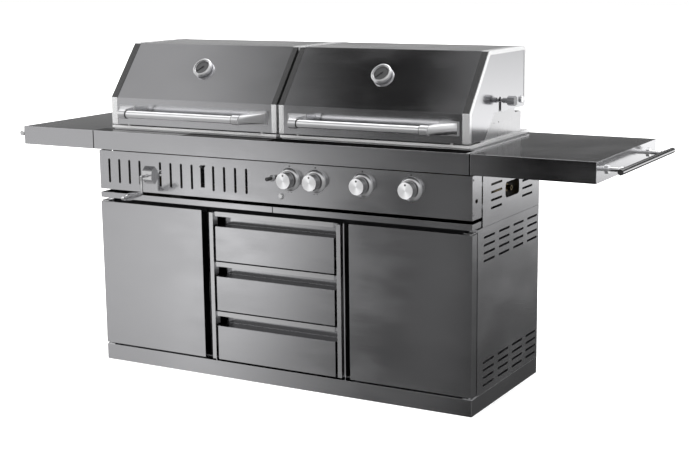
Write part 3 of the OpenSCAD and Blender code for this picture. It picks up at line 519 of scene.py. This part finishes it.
def soften(obj, width, segments=2, angle=32.0):
    """Rounds the object's edges by a width and smooths what is left below the angle.

    Without a width nothing is rounded. Rounded pieces keep only their sharpest edges.
    """
    if width > 0:
        bevel = obj.modifiers.new("edge rounding", "BEVEL")
        bevel.width = width
        bevel.segments = segments
        bevel.limit_method = "ANGLE"
        bevel.angle_limit = math.radians(angle)
        bevel.use_clamp_overlap = True
        bake(obj)
    mesh = obj.data
    mesh.shade_smooth()
    mesh.set_sharp_from_angle(angle=math.radians(ROUNDED_SHARP if width > 0 else angle))
    if width > 0:
        weigh = obj.modifiers.new("flat faces stay flat", "WEIGHTED_NORMAL")
        weigh.mode = "FACE_AREA"
        weigh.weight = 100
        weigh.keep_sharp = True
        bake(obj)
    return obj


def refine(node, finish, width=0.0008, segments=2):
    """Replaces a node by a merged copy of itself with rounded edges."""
    bm = bmesh.new()
    bm.from_mesh(NODES[node].data)
    bmesh.ops.remove_doubles(bm, verts=bm.verts, dist=WELD)
    bmesh.ops.dissolve_limit(bm, angle_limit=math.radians(FLAT), verts=bm.verts, edges=bm.edges)
    name = node + "_finished"
    obj = soften(new_object(name, finished_mesh(bm, name)), width, segments)
    paint(obj, finish)
    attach(obj, BODY_OF[node])
    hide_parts(node)
    return obj


def repaint(finish, *nodes):
    """Gives carried-over nodes a finish."""
    for node in nodes:
        obj = NODES[node]
        if not obj.material_slots:
            obj.data.materials.append(FINISH[finish])
        for slot in obj.material_slots:
            slot.material = FINISH[finish]


def lathe(name, profile, steps=96):
    """Turns a closed (radius, height) profile about Z."""
    bm = bmesh.new()
    rings = []
    turns = [2 * math.pi * i / steps for i in range(steps)]
    for radius, height in profile:
        if radius < ON_AXIS:
            rings.append([bm.verts.new((0.0, 0.0, height))])
        else:
            rings.append([bm.verts.new((radius * math.cos(turn), radius * math.sin(turn),
                                        height)) for turn in turns])
    closed = profile[0][0] > ON_AXIS and profile[-1][0] > ON_AXIS
    pairs = list(zip(rings, rings[1:])) + ([(rings[-1], rings[0])] if closed else [])
    for low, high in pairs:
        for i in range(steps):
            j = (i + 1) % steps
            if len(low) == 1:
                bm.faces.new((low[0], high[j], high[i]))
            elif len(high) == 1:
                bm.faces.new((low[i], low[j], high[0]))
            else:
                bm.faces.new((low[i], low[j], high[j], high[i]))
    bmesh.ops.recalc_face_normals(bm, faces=bm.faces)
    return finished_mesh(bm, name)


def facing(direction, place):
    """Matrix that turns Z to a direction and moves to a place."""
    turn = Vector(direction).to_track_quat("Z", "Y").to_matrix().to_4x4()
    return Matrix.Translation(place) @ turn


# ---- repeats by geometry nodes ----

class Repeat:
    """A geometry node tree that sets out bars, studs or ticks, and its named inputs."""

    def __init__(self, name, inputs):
        self.tree = bpy.data.node_groups.new(name, "GeometryNodeTree")
        self.keys = {}
        for label, kind in inputs:
            socket = self.tree.interface.new_socket(label, in_out="INPUT", socket_type=kind)
            self.keys[label] = socket.identifier
        self.tree.interface.new_socket("Geometry", in_out="OUTPUT",
                                       socket_type="NodeSocketGeometry")
        self.entry = self.tree.nodes.new("NodeGroupInput")

    def node(self, kind, settings=None, inputs=None):
        """Adds a node, sets it and fills its sockets; a string names one of the inputs."""
        node = self.tree.nodes.new(kind)
        for key, value in (settings or {}).items():
            setattr(node, key, value)
        for key, value in (inputs or {}).items():
            if isinstance(value, str):
                self.tree.links.new(self.entry.outputs[value], node.inputs[key])
            elif isinstance(value, bpy.types.NodeSocket):
                self.tree.links.new(value, node.inputs[key])
            else:
                node.inputs[key].default_value = value
        return node

    def end(self, instances):
        """Realizes the instances, moves them into place and sets their material."""
        real = self.node("GeometryNodeRealizeInstances", None, {0: instances})
        moved = self.node("GeometryNodeTransform", None,
                          {"Geometry": real.outputs[0], "Translation": "Place",
                           "Rotation": "Turn"})
        painted = self.node("GeometryNodeSetMaterial", None,
                            {"Geometry": moved.outputs[0], "Material": "Material"})
        leave = self.tree.nodes.new("NodeGroupOutput")
        self.tree.links.new(painted.outputs[0], leave.inputs[0])

    def make(self, name, finish, **values):
        """Runs the tree on a new object and returns it as a plain mesh."""
        obj = new_object(name, bpy.data.meshes.new(name))
        modifier = obj.modifiers.new(name, "NODES")
        modifier.node_group = self.tree
        for label, value in values.items():
            modifier[self.keys[label]] = value
        modifier[self.keys["Material"]] = FINISH[finish]
        return bake(obj)


COMMON = [("Place", "NodeSocketVector"), ("Turn", "NodeSocketRotation"),
          ("Material", "NodeSocketMaterial")]


def row_points(repeat):
    """Points in a straight row, Step apart."""
    return repeat.node("GeometryNodeMeshLine", {"mode": "OFFSET"},
                       {"Count": "Count", "Start Location": "Start", "Offset": "Step"})


def bars_tree():
    """A row of bars with a size each way."""
    r = Repeat("row_of_bars", [("Count", "NodeSocketInt"), ("Start", "NodeSocketVector"),
                               ("Step", "NodeSocketVector"), ("Size", "NodeSocketVector")]
               + COMMON)
    bar = r.node("GeometryNodeMeshCube", None, {"Size": "Size"})
    spread = r.node("GeometryNodeInstanceOnPoints", None,
                    {"Points": row_points(r).outputs[0], "Instance": bar.outputs[0]})
    r.end(spread.outputs[0])
    return r


def studs_tree():
    """A row of round studs that stand along Z before they are turned."""
    r = Repeat("row_of_studs", [("Count", "NodeSocketInt"), ("Start", "NodeSocketVector"),
                                ("Step", "NodeSocketVector"), ("Radius", "NodeSocketFloat"),
                                ("Height", "NodeSocketFloat")] + COMMON)
    stud = r.node("GeometryNodeMeshCylinder", None,
                  {"Vertices": 20, "Radius": "Radius", "Depth": "Height"})
    spread = r.node("GeometryNodeInstanceOnPoints", None,
                    {"Points": row_points(r).outputs[0], "Instance": stud.outputs[0]})
    r.end(spread.outputs[0])
    return r


def forward_stud(studs, name, radius, height, place):
    """One black stud that stands out to the front."""
    return studs.make(name, "black", Count=1, Start=ORIGIN, Step=ORIGIN, Radius=radius,
                      Height=height, Place=place, Turn=(math.radians(90), 0.0, 0.0))


def ticks_tree():
    """Ticks round an arc, each a small bar that points outwards."""
    r = Repeat("ring_of_ticks", [("Count", "NodeSocketInt"), ("Radius", "NodeSocketFloat"),
                                 ("Size", "NodeSocketVector"), ("From", "NodeSocketFloat"),
                                 ("Spread", "NodeSocketFloat")] + COMMON)
    line = r.node("GeometryNodeMeshLine", {"mode": "OFFSET"},
                  {"Count": "Count", "Offset": ORIGIN})
    index = r.node("GeometryNodeInputIndex")
    part = r.node("ShaderNodeMath", {"operation": "MULTIPLY"},
                  {0: index.outputs[0], 1: "Spread"})
    angle = r.node("ShaderNodeMath", {"operation": "ADD"}, {0: part.outputs[0], 1: "From"})
    turn = r.node("ShaderNodeCombineXYZ", None, {"Z": angle.outputs[0]})
    bar = r.node("GeometryNodeMeshCube", None, {"Size": "Size"})
    spread = r.node("GeometryNodeInstanceOnPoints", None,
                    {"Points": line.outputs[0], "Instance": bar.outputs[0],
                     "Rotation": turn.outputs[0]})
    out = r.node("ShaderNodeCombineXYZ", None, {"X": "Radius"})
    moved = r.node("GeometryNodeTranslateInstances", None,
                   {"Instances": spread.outputs[0], "Translation": out.outputs[0]})
    r.end(moved.outputs[0])
    return r


# ---- sizes and colours that a user would change ----

class FinishSettings(bpy.types.PropertyGroup):
    """Colours and gloss of the steel."""

    panel_colour: FloatVectorProperty(
        name="Panel colour", description="Colour of the brushed panels",
        subtype="COLOR", size=3, min=0.0, max=1.0, default=(0.60, 0.60, 0.615))
    trim_colour: FloatVectorProperty(
        name="Trim colour", description="Colour of the bright trims, tubes and castings",
        subtype="COLOR", size=3, min=0.0, max=1.0, default=(0.80, 0.80, 0.81))
    panel_roughness: FloatProperty(
        name="Panel roughness", description="How much the brushed panels blur a reflection",
        subtype="FACTOR", min=0.05, max=0.8, default=0.15)
    edge_radius: FloatProperty(
        name="Edge radius", description="Radius of the folded edges of the panels",
        subtype="DISTANCE", unit="LENGTH", min=0.0002, max=0.002, default=0.0009)


class ControlSettings(bpy.types.PropertyGroup):
    """Sizes of the knobs and of the marks round them."""

    knob_skirt: FloatProperty(
        name="Knob skirt", description="Height of the smooth band at the knob's foot",
        subtype="DISTANCE", unit="LENGTH", min=0.002, max=0.012, default=0.006)
    dot_radius: FloatProperty(
        name="Dot radius", description="Radius of the black dots by each knob",
        subtype="DISTANCE", unit="LENGTH", min=0.0005, max=0.004, default=0.0024)
    dial_ticks: IntProperty(
        name="Dial ticks", description="Number of fine ticks on each thermometer",
        min=11, max=61, default=41)


class StudioSettings(bpy.types.PropertyGroup):
    """Light, floor and lens."""

    lens: FloatProperty(
        name="Lens", description="Focal length on a 36 mm wide sensor, in millimetres",
        min=20.0, max=200.0, default=71.48)
    floor_colour: FloatVectorProperty(
        name="Floor colour", description="Colour of the floor",
        subtype="COLOR", size=3, min=0.0, max=1.0, default=(0.90, 0.90, 0.90))
    overhead_power: FloatProperty(
        name="Overhead light", description="Strength of the soft light above",
        min=0.0, max=20.0, default=3.2)


SETTINGS = {"barbecue_finish": FinishSettings, "barbecue_controls": ControlSettings,
            "barbecue_studio": StudioSettings}


# ---- the pieces ----

class FinishesOperator(bpy.types.Operator):
    """Make the steel, iron, brass and plastic finishes"""

    bl_idname = "barbecue.finishes"
    bl_label = "Finishes"

    def execute(self, context):
        make_finishes(context.scene.barbecue_finish)
        return {"FINISHED"}


class CabinetOperator(bpy.types.Operator):
    """Finish the cabinet: plinth, sides, drawers, doors and trays"""

    bl_idname = "barbecue.cabinet"
    bl_label = "Cabinet"

    def execute(self, context):
        edge = context.scene.barbecue_finish.edge_radius
        for node in ("left_door", "right_door", "plinth", "ash_tray", "grease_tray"):
            refine(node, "front", edge)
        for node in ("drawer_top", "drawer_middle", "drawer_bottom"):
            refine(node, "drawer", edge)
        refine("drawer_frame", "trim", edge * 0.8)
        repaint("side", "side_panels", "upper_side_panels")
        repaint("inside", "back_panel", "cabinet_base")
        # The dividers and heat shield are painted near-black for the shade inside the cabinet.
        repaint("shade", "cabinet_dividers", "heat_shield")
        repaint("zinc", "cabinet_runners")
        refine("levelling_feet", "zinc", 0.0)
        refine("door_hinges", "polished", 0.0005)
        return {"FINISHED"}


class WorktopOperator(bpy.types.Operator):
    """Finish the worktop, the shelves and the towel rails"""

    bl_idname = "barbecue.worktop"
    bl_label = "Worktop and shelves"

    def execute(self, context):
        edge = context.scene.barbecue_finish.edge_radius
        for node in ("worktop", "left_shelf", "right_shelf"):
            refine(node, "worktop", edge)
        refine("shelf_rails", "polished", 0.0004)
        refine("hood_rims", "rim", 0.0006)
        return {"FINISHED"}


class HoodsOperator(bpy.types.Operator):
    """Finish the hoods, their end frames, the guards and the hinge bolts"""

    bl_idname = "barbecue.hoods"
    bl_label = "Hoods"

    def execute(self, context):
        edge = context.scene.barbecue_finish.edge_radius
        for side in ("left", "right"):
            refine(side + "_hood", "front", 0.0006)
            refine(side + "_hood_frames", "frames", 0.0005)
        refine("back_guards", "guard", 0.0004)
        refine("hood_hinge_bolts", "polished", edge)
        return {"FINISHED"}


class HandlesOperator(bpy.types.Operator):
    """Finish both handles and add the black rings at their collars"""

    bl_idname = "barbecue.handles"
    bl_label = "Handles"

    def execute(self, context):
        for side in ("left", "right"):
            tube = side + "_handle_tube"
            refine(tube, "tube", 0.0)
            refine(side + "_handle_brackets", "case", 0.0012, 3)
            low, high = span(tube)
            radius = (high.z - low.z) / 2
            rise, width, edge = 0.0021, 0.0026, 0.0004
            inset = 0.026    # from the tube's end to the ring
            profile = [(radius, 0.0), (radius + rise, edge), (radius + rise, width - edge),
                       (radius, width)]
            turned = []
            for x, way in ((low.x + inset, 1), (high.x - inset, -1)):
                ring = lathe("ring", profile, 64)
                ring.transform(facing((way, 0, 0), (x, middle(tube).y, middle(tube).z)))
                turned.append(ring)
            name = side + "_handle_rings"
            rings = soften(new_object(name, joined(name, turned)), 0.0)
            paint(rings, "rubber")
            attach(rings, BODY_OF[tube])
        return {"FINISHED"}


class ThermometersOperator(bpy.types.Operator):
    """Finish the thermometers: case, dial with ticks, and needle"""

    bl_idname = "barbecue.thermometers"
    bl_label = "Thermometers"

    def execute(self, context):
        ticks = context.scene.barbecue_controls.dial_ticks
        ring = ticks_tree()
        foot, thickness, radius, chamfer = 0.0123, 0.0008, 0.0285, 0.0004
        lift = 0.00005    # of the ticks over the dial
        profile = [(0.0, 0.0), (radius, 0.0), (radius, thickness - 0.0003),
                   (radius - chamfer, thickness), (0.0, thickness)]
        for side in ("left", "right"):
            case, needle = side + "_thermometer", side + "_pointer"
            refine(case, "case", 0.0006, 3)
            refine(needle, "black", 0.0)
            joint = JOINTS[side + "_needle_turn"]
            out = -Vector(joint["axis"])
            centre = Vector(joint["pos_m"])
            face = centre + out * (foot + thickness + lift)
            turn = out.to_track_quat("Z", "Y").to_euler()
            dial = lathe(side + "_dial", profile, 96)
            dial.transform(facing(out, centre + out * foot))
            dial_obj = soften(new_object(side + "_dial", dial), 0.0)
            paint(dial_obj, "dial")
            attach(dial_obj, BODY_OF[case])
            arc = math.radians(270)
            for name, count, distance, size in (
                    ("fine", ticks, 0.0245, (0.0030, 0.00045, 0.0003)),
                    ("main", 7, 0.0235, (0.0055, 0.0011, 0.0004))):
                marks = ring.make(side + "_dial_" + name, "black", Count=count, Radius=distance,
                                  Size=size, From=-math.radians(45), Spread=arc / (count - 1),
                                  Place=tuple(face), Turn=tuple(turn))
                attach(marks, BODY_OF[case])
        return {"FINISHED"}


class KnobsOperator(bpy.types.Operator):
    """Make the knobs, their bezels, the dots by them, the igniter and the light button"""

    bl_idname = "barbecue.knobs"
    bl_label = "Knobs"

    def execute(self, context):
        size = context.scene.barbecue_controls
        shade = tuple(c * 0.72 for c in context.scene.barbecue_finish.trim_colour)
        refine("knob_bezels", "case", 0.0005, 3)
        panel_front = span("control_panel")[0].y - 0.0001
        studs = studs_tree()
        for node in ("rotisserie_knob", "left_burner_knob", "middle_burner_knob",
                     "right_burner_knob"):
            low, high = span(node)
            centre = middle(node)
            radius = (high.x - low.x) / 2
            depth = high.y - low.y
            skirt = size.knob_skirt
            wall, groove = radius - 0.0006, radius - 0.0016
            # Pairs of close rings keep the face and the wall flat when they are smoothed.
            profile = [(0.0, depth), (radius - 0.0060, depth), (radius - 0.0022, depth),
                       (radius - 0.0018, depth), (radius - 0.0009, depth - 0.0005),
                       (wall, depth - 0.0014), (wall, depth - 0.0018),
                       (wall, skirt + 0.0024), (wall, skirt + 0.0020),
                       (groove, skirt + 0.0012), (groove, skirt),
                       (radius, skirt - 0.0008), (radius, 0.0), (0.0, 0.0)]
            knob = lathe(node + "_turned", profile, 96)
            knob.transform(facing((0, -1, 0), (centre.x, high.y, centre.z)))
            knob_obj = soften(new_object(node + "_turned", knob), 0.0)
            # The knob's spun finish carries a painted highlight in sectors.
            FINISH[node] = spun_steel_painted_fan(node + "_spun", shade, 0.30, tuple(centre), 1,
                                      depth / 2 - 0.0006)
            paint(knob_obj, node)
            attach(knob_obj, BODY_OF[node])
            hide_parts(node)
            dot = forward_stud(studs, node + "_dot", size.dot_radius * 1.4, 0.0008,
                               (centre.x, low.y - 0.0001, centre.z + radius * 0.66))
            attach(dot, BODY_OF[node])
            bezel = radius + 0.0125
            for name, x, z, part in (("top", 0.0, bezel + 0.006, 1.0),
                                     ("left", -0.006, -bezel - 0.004, 0.6),
                                     ("right", 0.006, -bezel - 0.004, 0.6)):
                mark = forward_stud(studs, node + "_mark_" + name, size.dot_radius * part,
                                    0.0004, (centre.x + x, panel_front, centre.z + z))
                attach(mark, CABINET)
        refine("igniter_button", "plastic", 0.0010, 3)
        refine("light_button", "polished", 0.0008, 3)
        return {"FINISHED"}


class PanelOperator(bpy.types.Operator):
    """Finish the control panel, the crank, the damper and the screws"""

    bl_idname = "barbecue.panel"
    bl_label = "Control panel"

    def execute(self, context):
        repaint("front", "control_panel")
        refine("crank_housing", "polished", 0.0010)
        refine("crank_arm", "polished", 0.0)
        refine("crank_grip", "polished", 0.0)
        repaint("plastic", "air_damper")
        refine("panel_screws", "zinc", 0.0002)
        return {"FINISHED"}


class FireboxesOperator(bpy.types.Operator):
    """Finish the fireboxes, burners, tamers, gas pipe and coal tray, and make the grates"""

    bl_idname = "barbecue.fireboxes"
    bl_label = "Fireboxes and grates"

    def execute(self, context):
        repaint("heat", "charcoal_firebox", "gas_firebox", "flame_tamers", "rear_burner")
        refine("main_burners", "heat", 0.0)
        refine("gas_manifold", "brass", 0.0004)
        repaint("iron", "charcoal_tray")
        bars = bars_tree()
        sections, parting = 3, 0.002
        bar, spacing, cross = 0.006, 0.019, 0.008
        for node in ("charcoal_side_grate", "gas_side_grate"):
            low, high = span(node)
            third = (high.x - low.x + parting) / sections
            width = third - parting
            gaps = int((width - bar) / spacing)
            length = high.y - low.y
            pieces = []
            for i in range(sections):
                x = low.x + i * third
                pieces.append(bars.make(
                    node + "_bars", "iron", Count=gaps + 1, Start=ORIGIN,
                    Step=((width - bar) / gaps, 0.0, 0.0), Size=(bar, length, high.z - low.z),
                    Place=(x + bar / 2, middle(node).y, middle(node).z), Turn=ORIGIN))
                pieces.append(bars.make(
                    node + "_cross", "iron", Count=3, Start=ORIGIN,
                    Step=(0.0, (length - cross) / 2, 0.0), Size=(width, cross, cross),
                    Place=(x + width / 2, low.y + cross / 2, low.z + cross / 2), Turn=ORIGIN))
            name = node + "_rounded"
            mesh = joined(name, [piece.data for piece in pieces])
            for piece in pieces:
                bpy.data.objects.remove(piece)
            grate = soften(new_object(name, mesh), 0.0016, 2)
            paint(grate, "iron")
            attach(grate, BODY_OF[node])
            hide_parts(node)
        return {"FINISHED"}


class SpitOperator(bpy.types.Operator):
    """Finish the roasting spit"""

    bl_idname = "barbecue.spit"
    bl_label = "Spit"

    def execute(self, context):
        refine("spit", "dark", 0.0005)
        return {"FINISHED"}


# ---- the stage ----

def studio_world(scene):
    """A soft studio all round: cards of light set out by direction, and a pale backdrop."""
    world = bpy.data.worlds.new("studio")
    world.use_nodes = True
    scene.world = world
    s = Shader(world.node_tree)
    x, y, z = s.parts(s.node("ShaderNodeTexCoord").value("Generated"))

    # Cards before the object, from left to right: low down, just under the horizon, high up.
    front = s.ramp(x, [(-1.0, 0.60), (-0.62, 0.60), (-0.595, 0.66), (-0.563, 1.02),
                       (-0.53, 0.70), (-0.491, 0.22), (-0.475, 0.12), (-0.441, 0.04),
                       (-0.408, 0.30), (-0.390, 0.0), (-0.30, 0.0), (-0.14, 0.34),
                       (0.2, 0.42), (1.0, 0.4)])
    lip = s.ramp(x, [(-1.0, 0.62), (-0.60, 0.66), (-0.56, 0.42), (-0.545, 0.30),
                     (-0.533, 0.07), (-0.50, 0.06), (-0.44, 0.03), (-0.38, 0.0),
                     (-0.30, 0.0), (-0.14, 0.30), (1.0, 0.36)])
    high = s.ramp(x, [(-1.0, 0.42), (-0.618, 0.46), (-0.582, 0.60), (-0.537, 0.22),
                      (-0.522, 0.16), (-0.490, 0.0), (-0.423, 0.0), (-0.405, 0.30),
                      (-0.36, 0.10), (0.0, 0.50), (1.0, 0.6)])
    card = s.ramp(x, [(-1.0, 1.4), (-0.60, 1.4), (-0.45, 0.8), (1.0, 0.8)])
    glow = s.ramp(x, [(-1.0, 0.0), (-0.60, 0.0), (-0.555, 0.5), (-0.50, 0.0), (1.0, 0.0)])
    # Cards behind it, from low to high.
    back = s.ramp(z, [(-0.5, 0.06), (-0.28, 0.08), (-0.22, 0.14), (-0.17, 0.36),
                      (-0.13, 1.55), (-0.08, 1.10), (-0.04, 0.70), (0.05, 0.46),
                      (0.075, 0.40), (0.137, 0.05), (0.30, 0.03), (0.45, 1.2),
                      (1.0, 2.4)])
    front = front + glow * z.smooth(-0.23, -0.195) * (1.0 - z.smooth(-0.17, -0.15))
    front = s.mix(z.smooth(-0.29, -0.25), front * 0.74, front)
    front = s.mix(z.smooth(-0.15, -0.13), front, front * 1.2)
    front = s.mix(z.smooth(-0.127, -0.117), front, lip)
    ahead = s.mix(z.smooth(0.12, 0.24), front, card)
    ahead = s.mix(z.smooth(0.60, 0.68), ahead, high)
    around = s.mix(y.smooth(0.05, 0.30), ahead, back)
    around = s.mix(z.smooth(0.92, 0.97), around, (3.0, 3.0, 3.0, 1.0))
    seen = s.node("ShaderNodeLightPath").value("Is Camera Ray")
    lit = s.node("ShaderNodeBackground", None, {"Color": around, "Strength": 1.0})
    plain = s.node("ShaderNodeBackground", None,
                   {"Color": (1.0, 1.0, 1.0, 1.0), "Strength": 1.0})
    both = s.node("ShaderNodeMixShader", None, {0: seen, 1: lit.value(0), 2: plain.value(0)})
    s.output(both.value(0), "ShaderNodeOutputWorld")


CAMERA_PLACE = (2.54295, -4.24873, 1.51054)
CAMERA_AHEAD = (-0.48444, 0.85442, -0.18783)
CAMERA_RIGHT = (0.87092, 0.49130, -0.01137)
SENSOR_WIDTH = 36.0    # millimetres
FLOOR_REACH = 40.0     # metres from the middle to an edge


class StageOperator(bpy.types.Operator):
    """Set the floor, the lights and the camera"""

    bl_idname = "barbecue.stage"
    bl_label = "Stage"

    def execute(self, context):
        scene = context.scene
        size = scene.barbecue_studio
        scene.view_settings.view_transform = "Standard"
        studio_world(scene)

        floor = bpy.data.meshes.new("floor")
        corners = ((-1, -1), (1, -1), (1, 1), (-1, 1))
        floor.from_pydata([(x * FLOOR_REACH, y * FLOOR_REACH, 0.0) for x, y in corners], [],
                          [(0, 1, 2, 3)])
        floor_obj = new_object("floor", floor)
        material, s = new_shader("pale_floor")
        cloud = s.noise(s.place((0.6, 0.6, 0.6)), 1.0, 2.0, 0.5)
        base = s.mix(cloud, rgba(size.floor_colour, 0.99), rgba(size.floor_colour, 1.01))
        s.output(s.node("ShaderNodeBsdfPrincipled", None,
                        {"Base Color": base, "Roughness": 0.9,
                         "Emission Color": (1.0, 1.0, 1.0, 1.0),
                         "Emission Strength": 0.35}).value(0))
        floor.materials.append(material)
        floor_obj.visible_glossy = False

        data = bpy.data.lights.new("overhead", "SUN")
        data.energy = size.overhead_power
        data.angle = math.radians(100)
        overhead = bpy.data.objects.new("overhead", data)
        overhead.matrix_world = facing((-0.25, -0.35, 1.0), (0.0, 0.0, 4.0))
        overhead.visible_glossy = False
        scene.collection.objects.link(overhead)

        camera = bpy.data.objects.new("camera", bpy.data.cameras.new("camera"))
        camera.data.sensor_width = SENSOR_WIDTH
        camera.data.sensor_fit = "HORIZONTAL"
        camera.data.lens = size.lens
        ahead = Vector(CAMERA_AHEAD).normalized()
        right = Vector(CAMERA_RIGHT).normalized()
        up = right.cross(ahead)
        turn = Matrix((right, up, -ahead)).transposed().to_4x4()
        camera.matrix_world = Matrix.Translation(CAMERA_PLACE) @ turn
        scene.collection.objects.link(camera)
        scene.camera = camera
        return {"FINISHED"}


class BarbecuePanel(bpy.types.Panel):
    """Lists the steps that build the barbecue"""

    bl_idname = "VIEW3D_PT_barbecue"
    bl_label = "Barbecue"
    bl_space_type = "VIEW_3D"
    bl_region_type = "UI"
    bl_category = "Barbecue"

    def draw(self, context):
        layout = self.layout
        for group in SETTINGS:
            settings = getattr(context.scene, group)
            for key in settings.bl_rna.properties.keys():
                if key not in {"rna_type", "name"}:
                    layout.prop(settings, key)
        for step in STEPS:
            layout.operator(step.bl_idname)


STEPS = (StageOperator, FinishesOperator, CabinetOperator, WorktopOperator, HoodsOperator,
         HandlesOperator, ThermometersOperator, KnobsOperator, PanelOperator,
         FireboxesOperator, SpitOperator)


def register():
    """Registers the settings, the steps and the panel."""
    for group in SETTINGS.values():
        bpy.utils.register_class(group)
    for name, group in SETTINGS.items():
        setattr(bpy.types.Scene, name, PointerProperty(type=group))
    for step in STEPS + (BarbecuePanel,):
        bpy.utils.register_class(step)


def unregister():
    """Takes them all away again."""
    for step in reversed(STEPS + (BarbecuePanel,)):
        bpy.utils.unregister_class(step)
    for name, group in SETTINGS.items():
        delattr(bpy.types.Scene, name)
        bpy.utils.unregister_class(group)


def main():
    """Builds everything in order."""
    register()
    for step in STEPS:
        group, name = step.bl_idname.split(".")
        getattr(getattr(bpy.ops, group), name)()


if __name__ == "__main__":
    main()
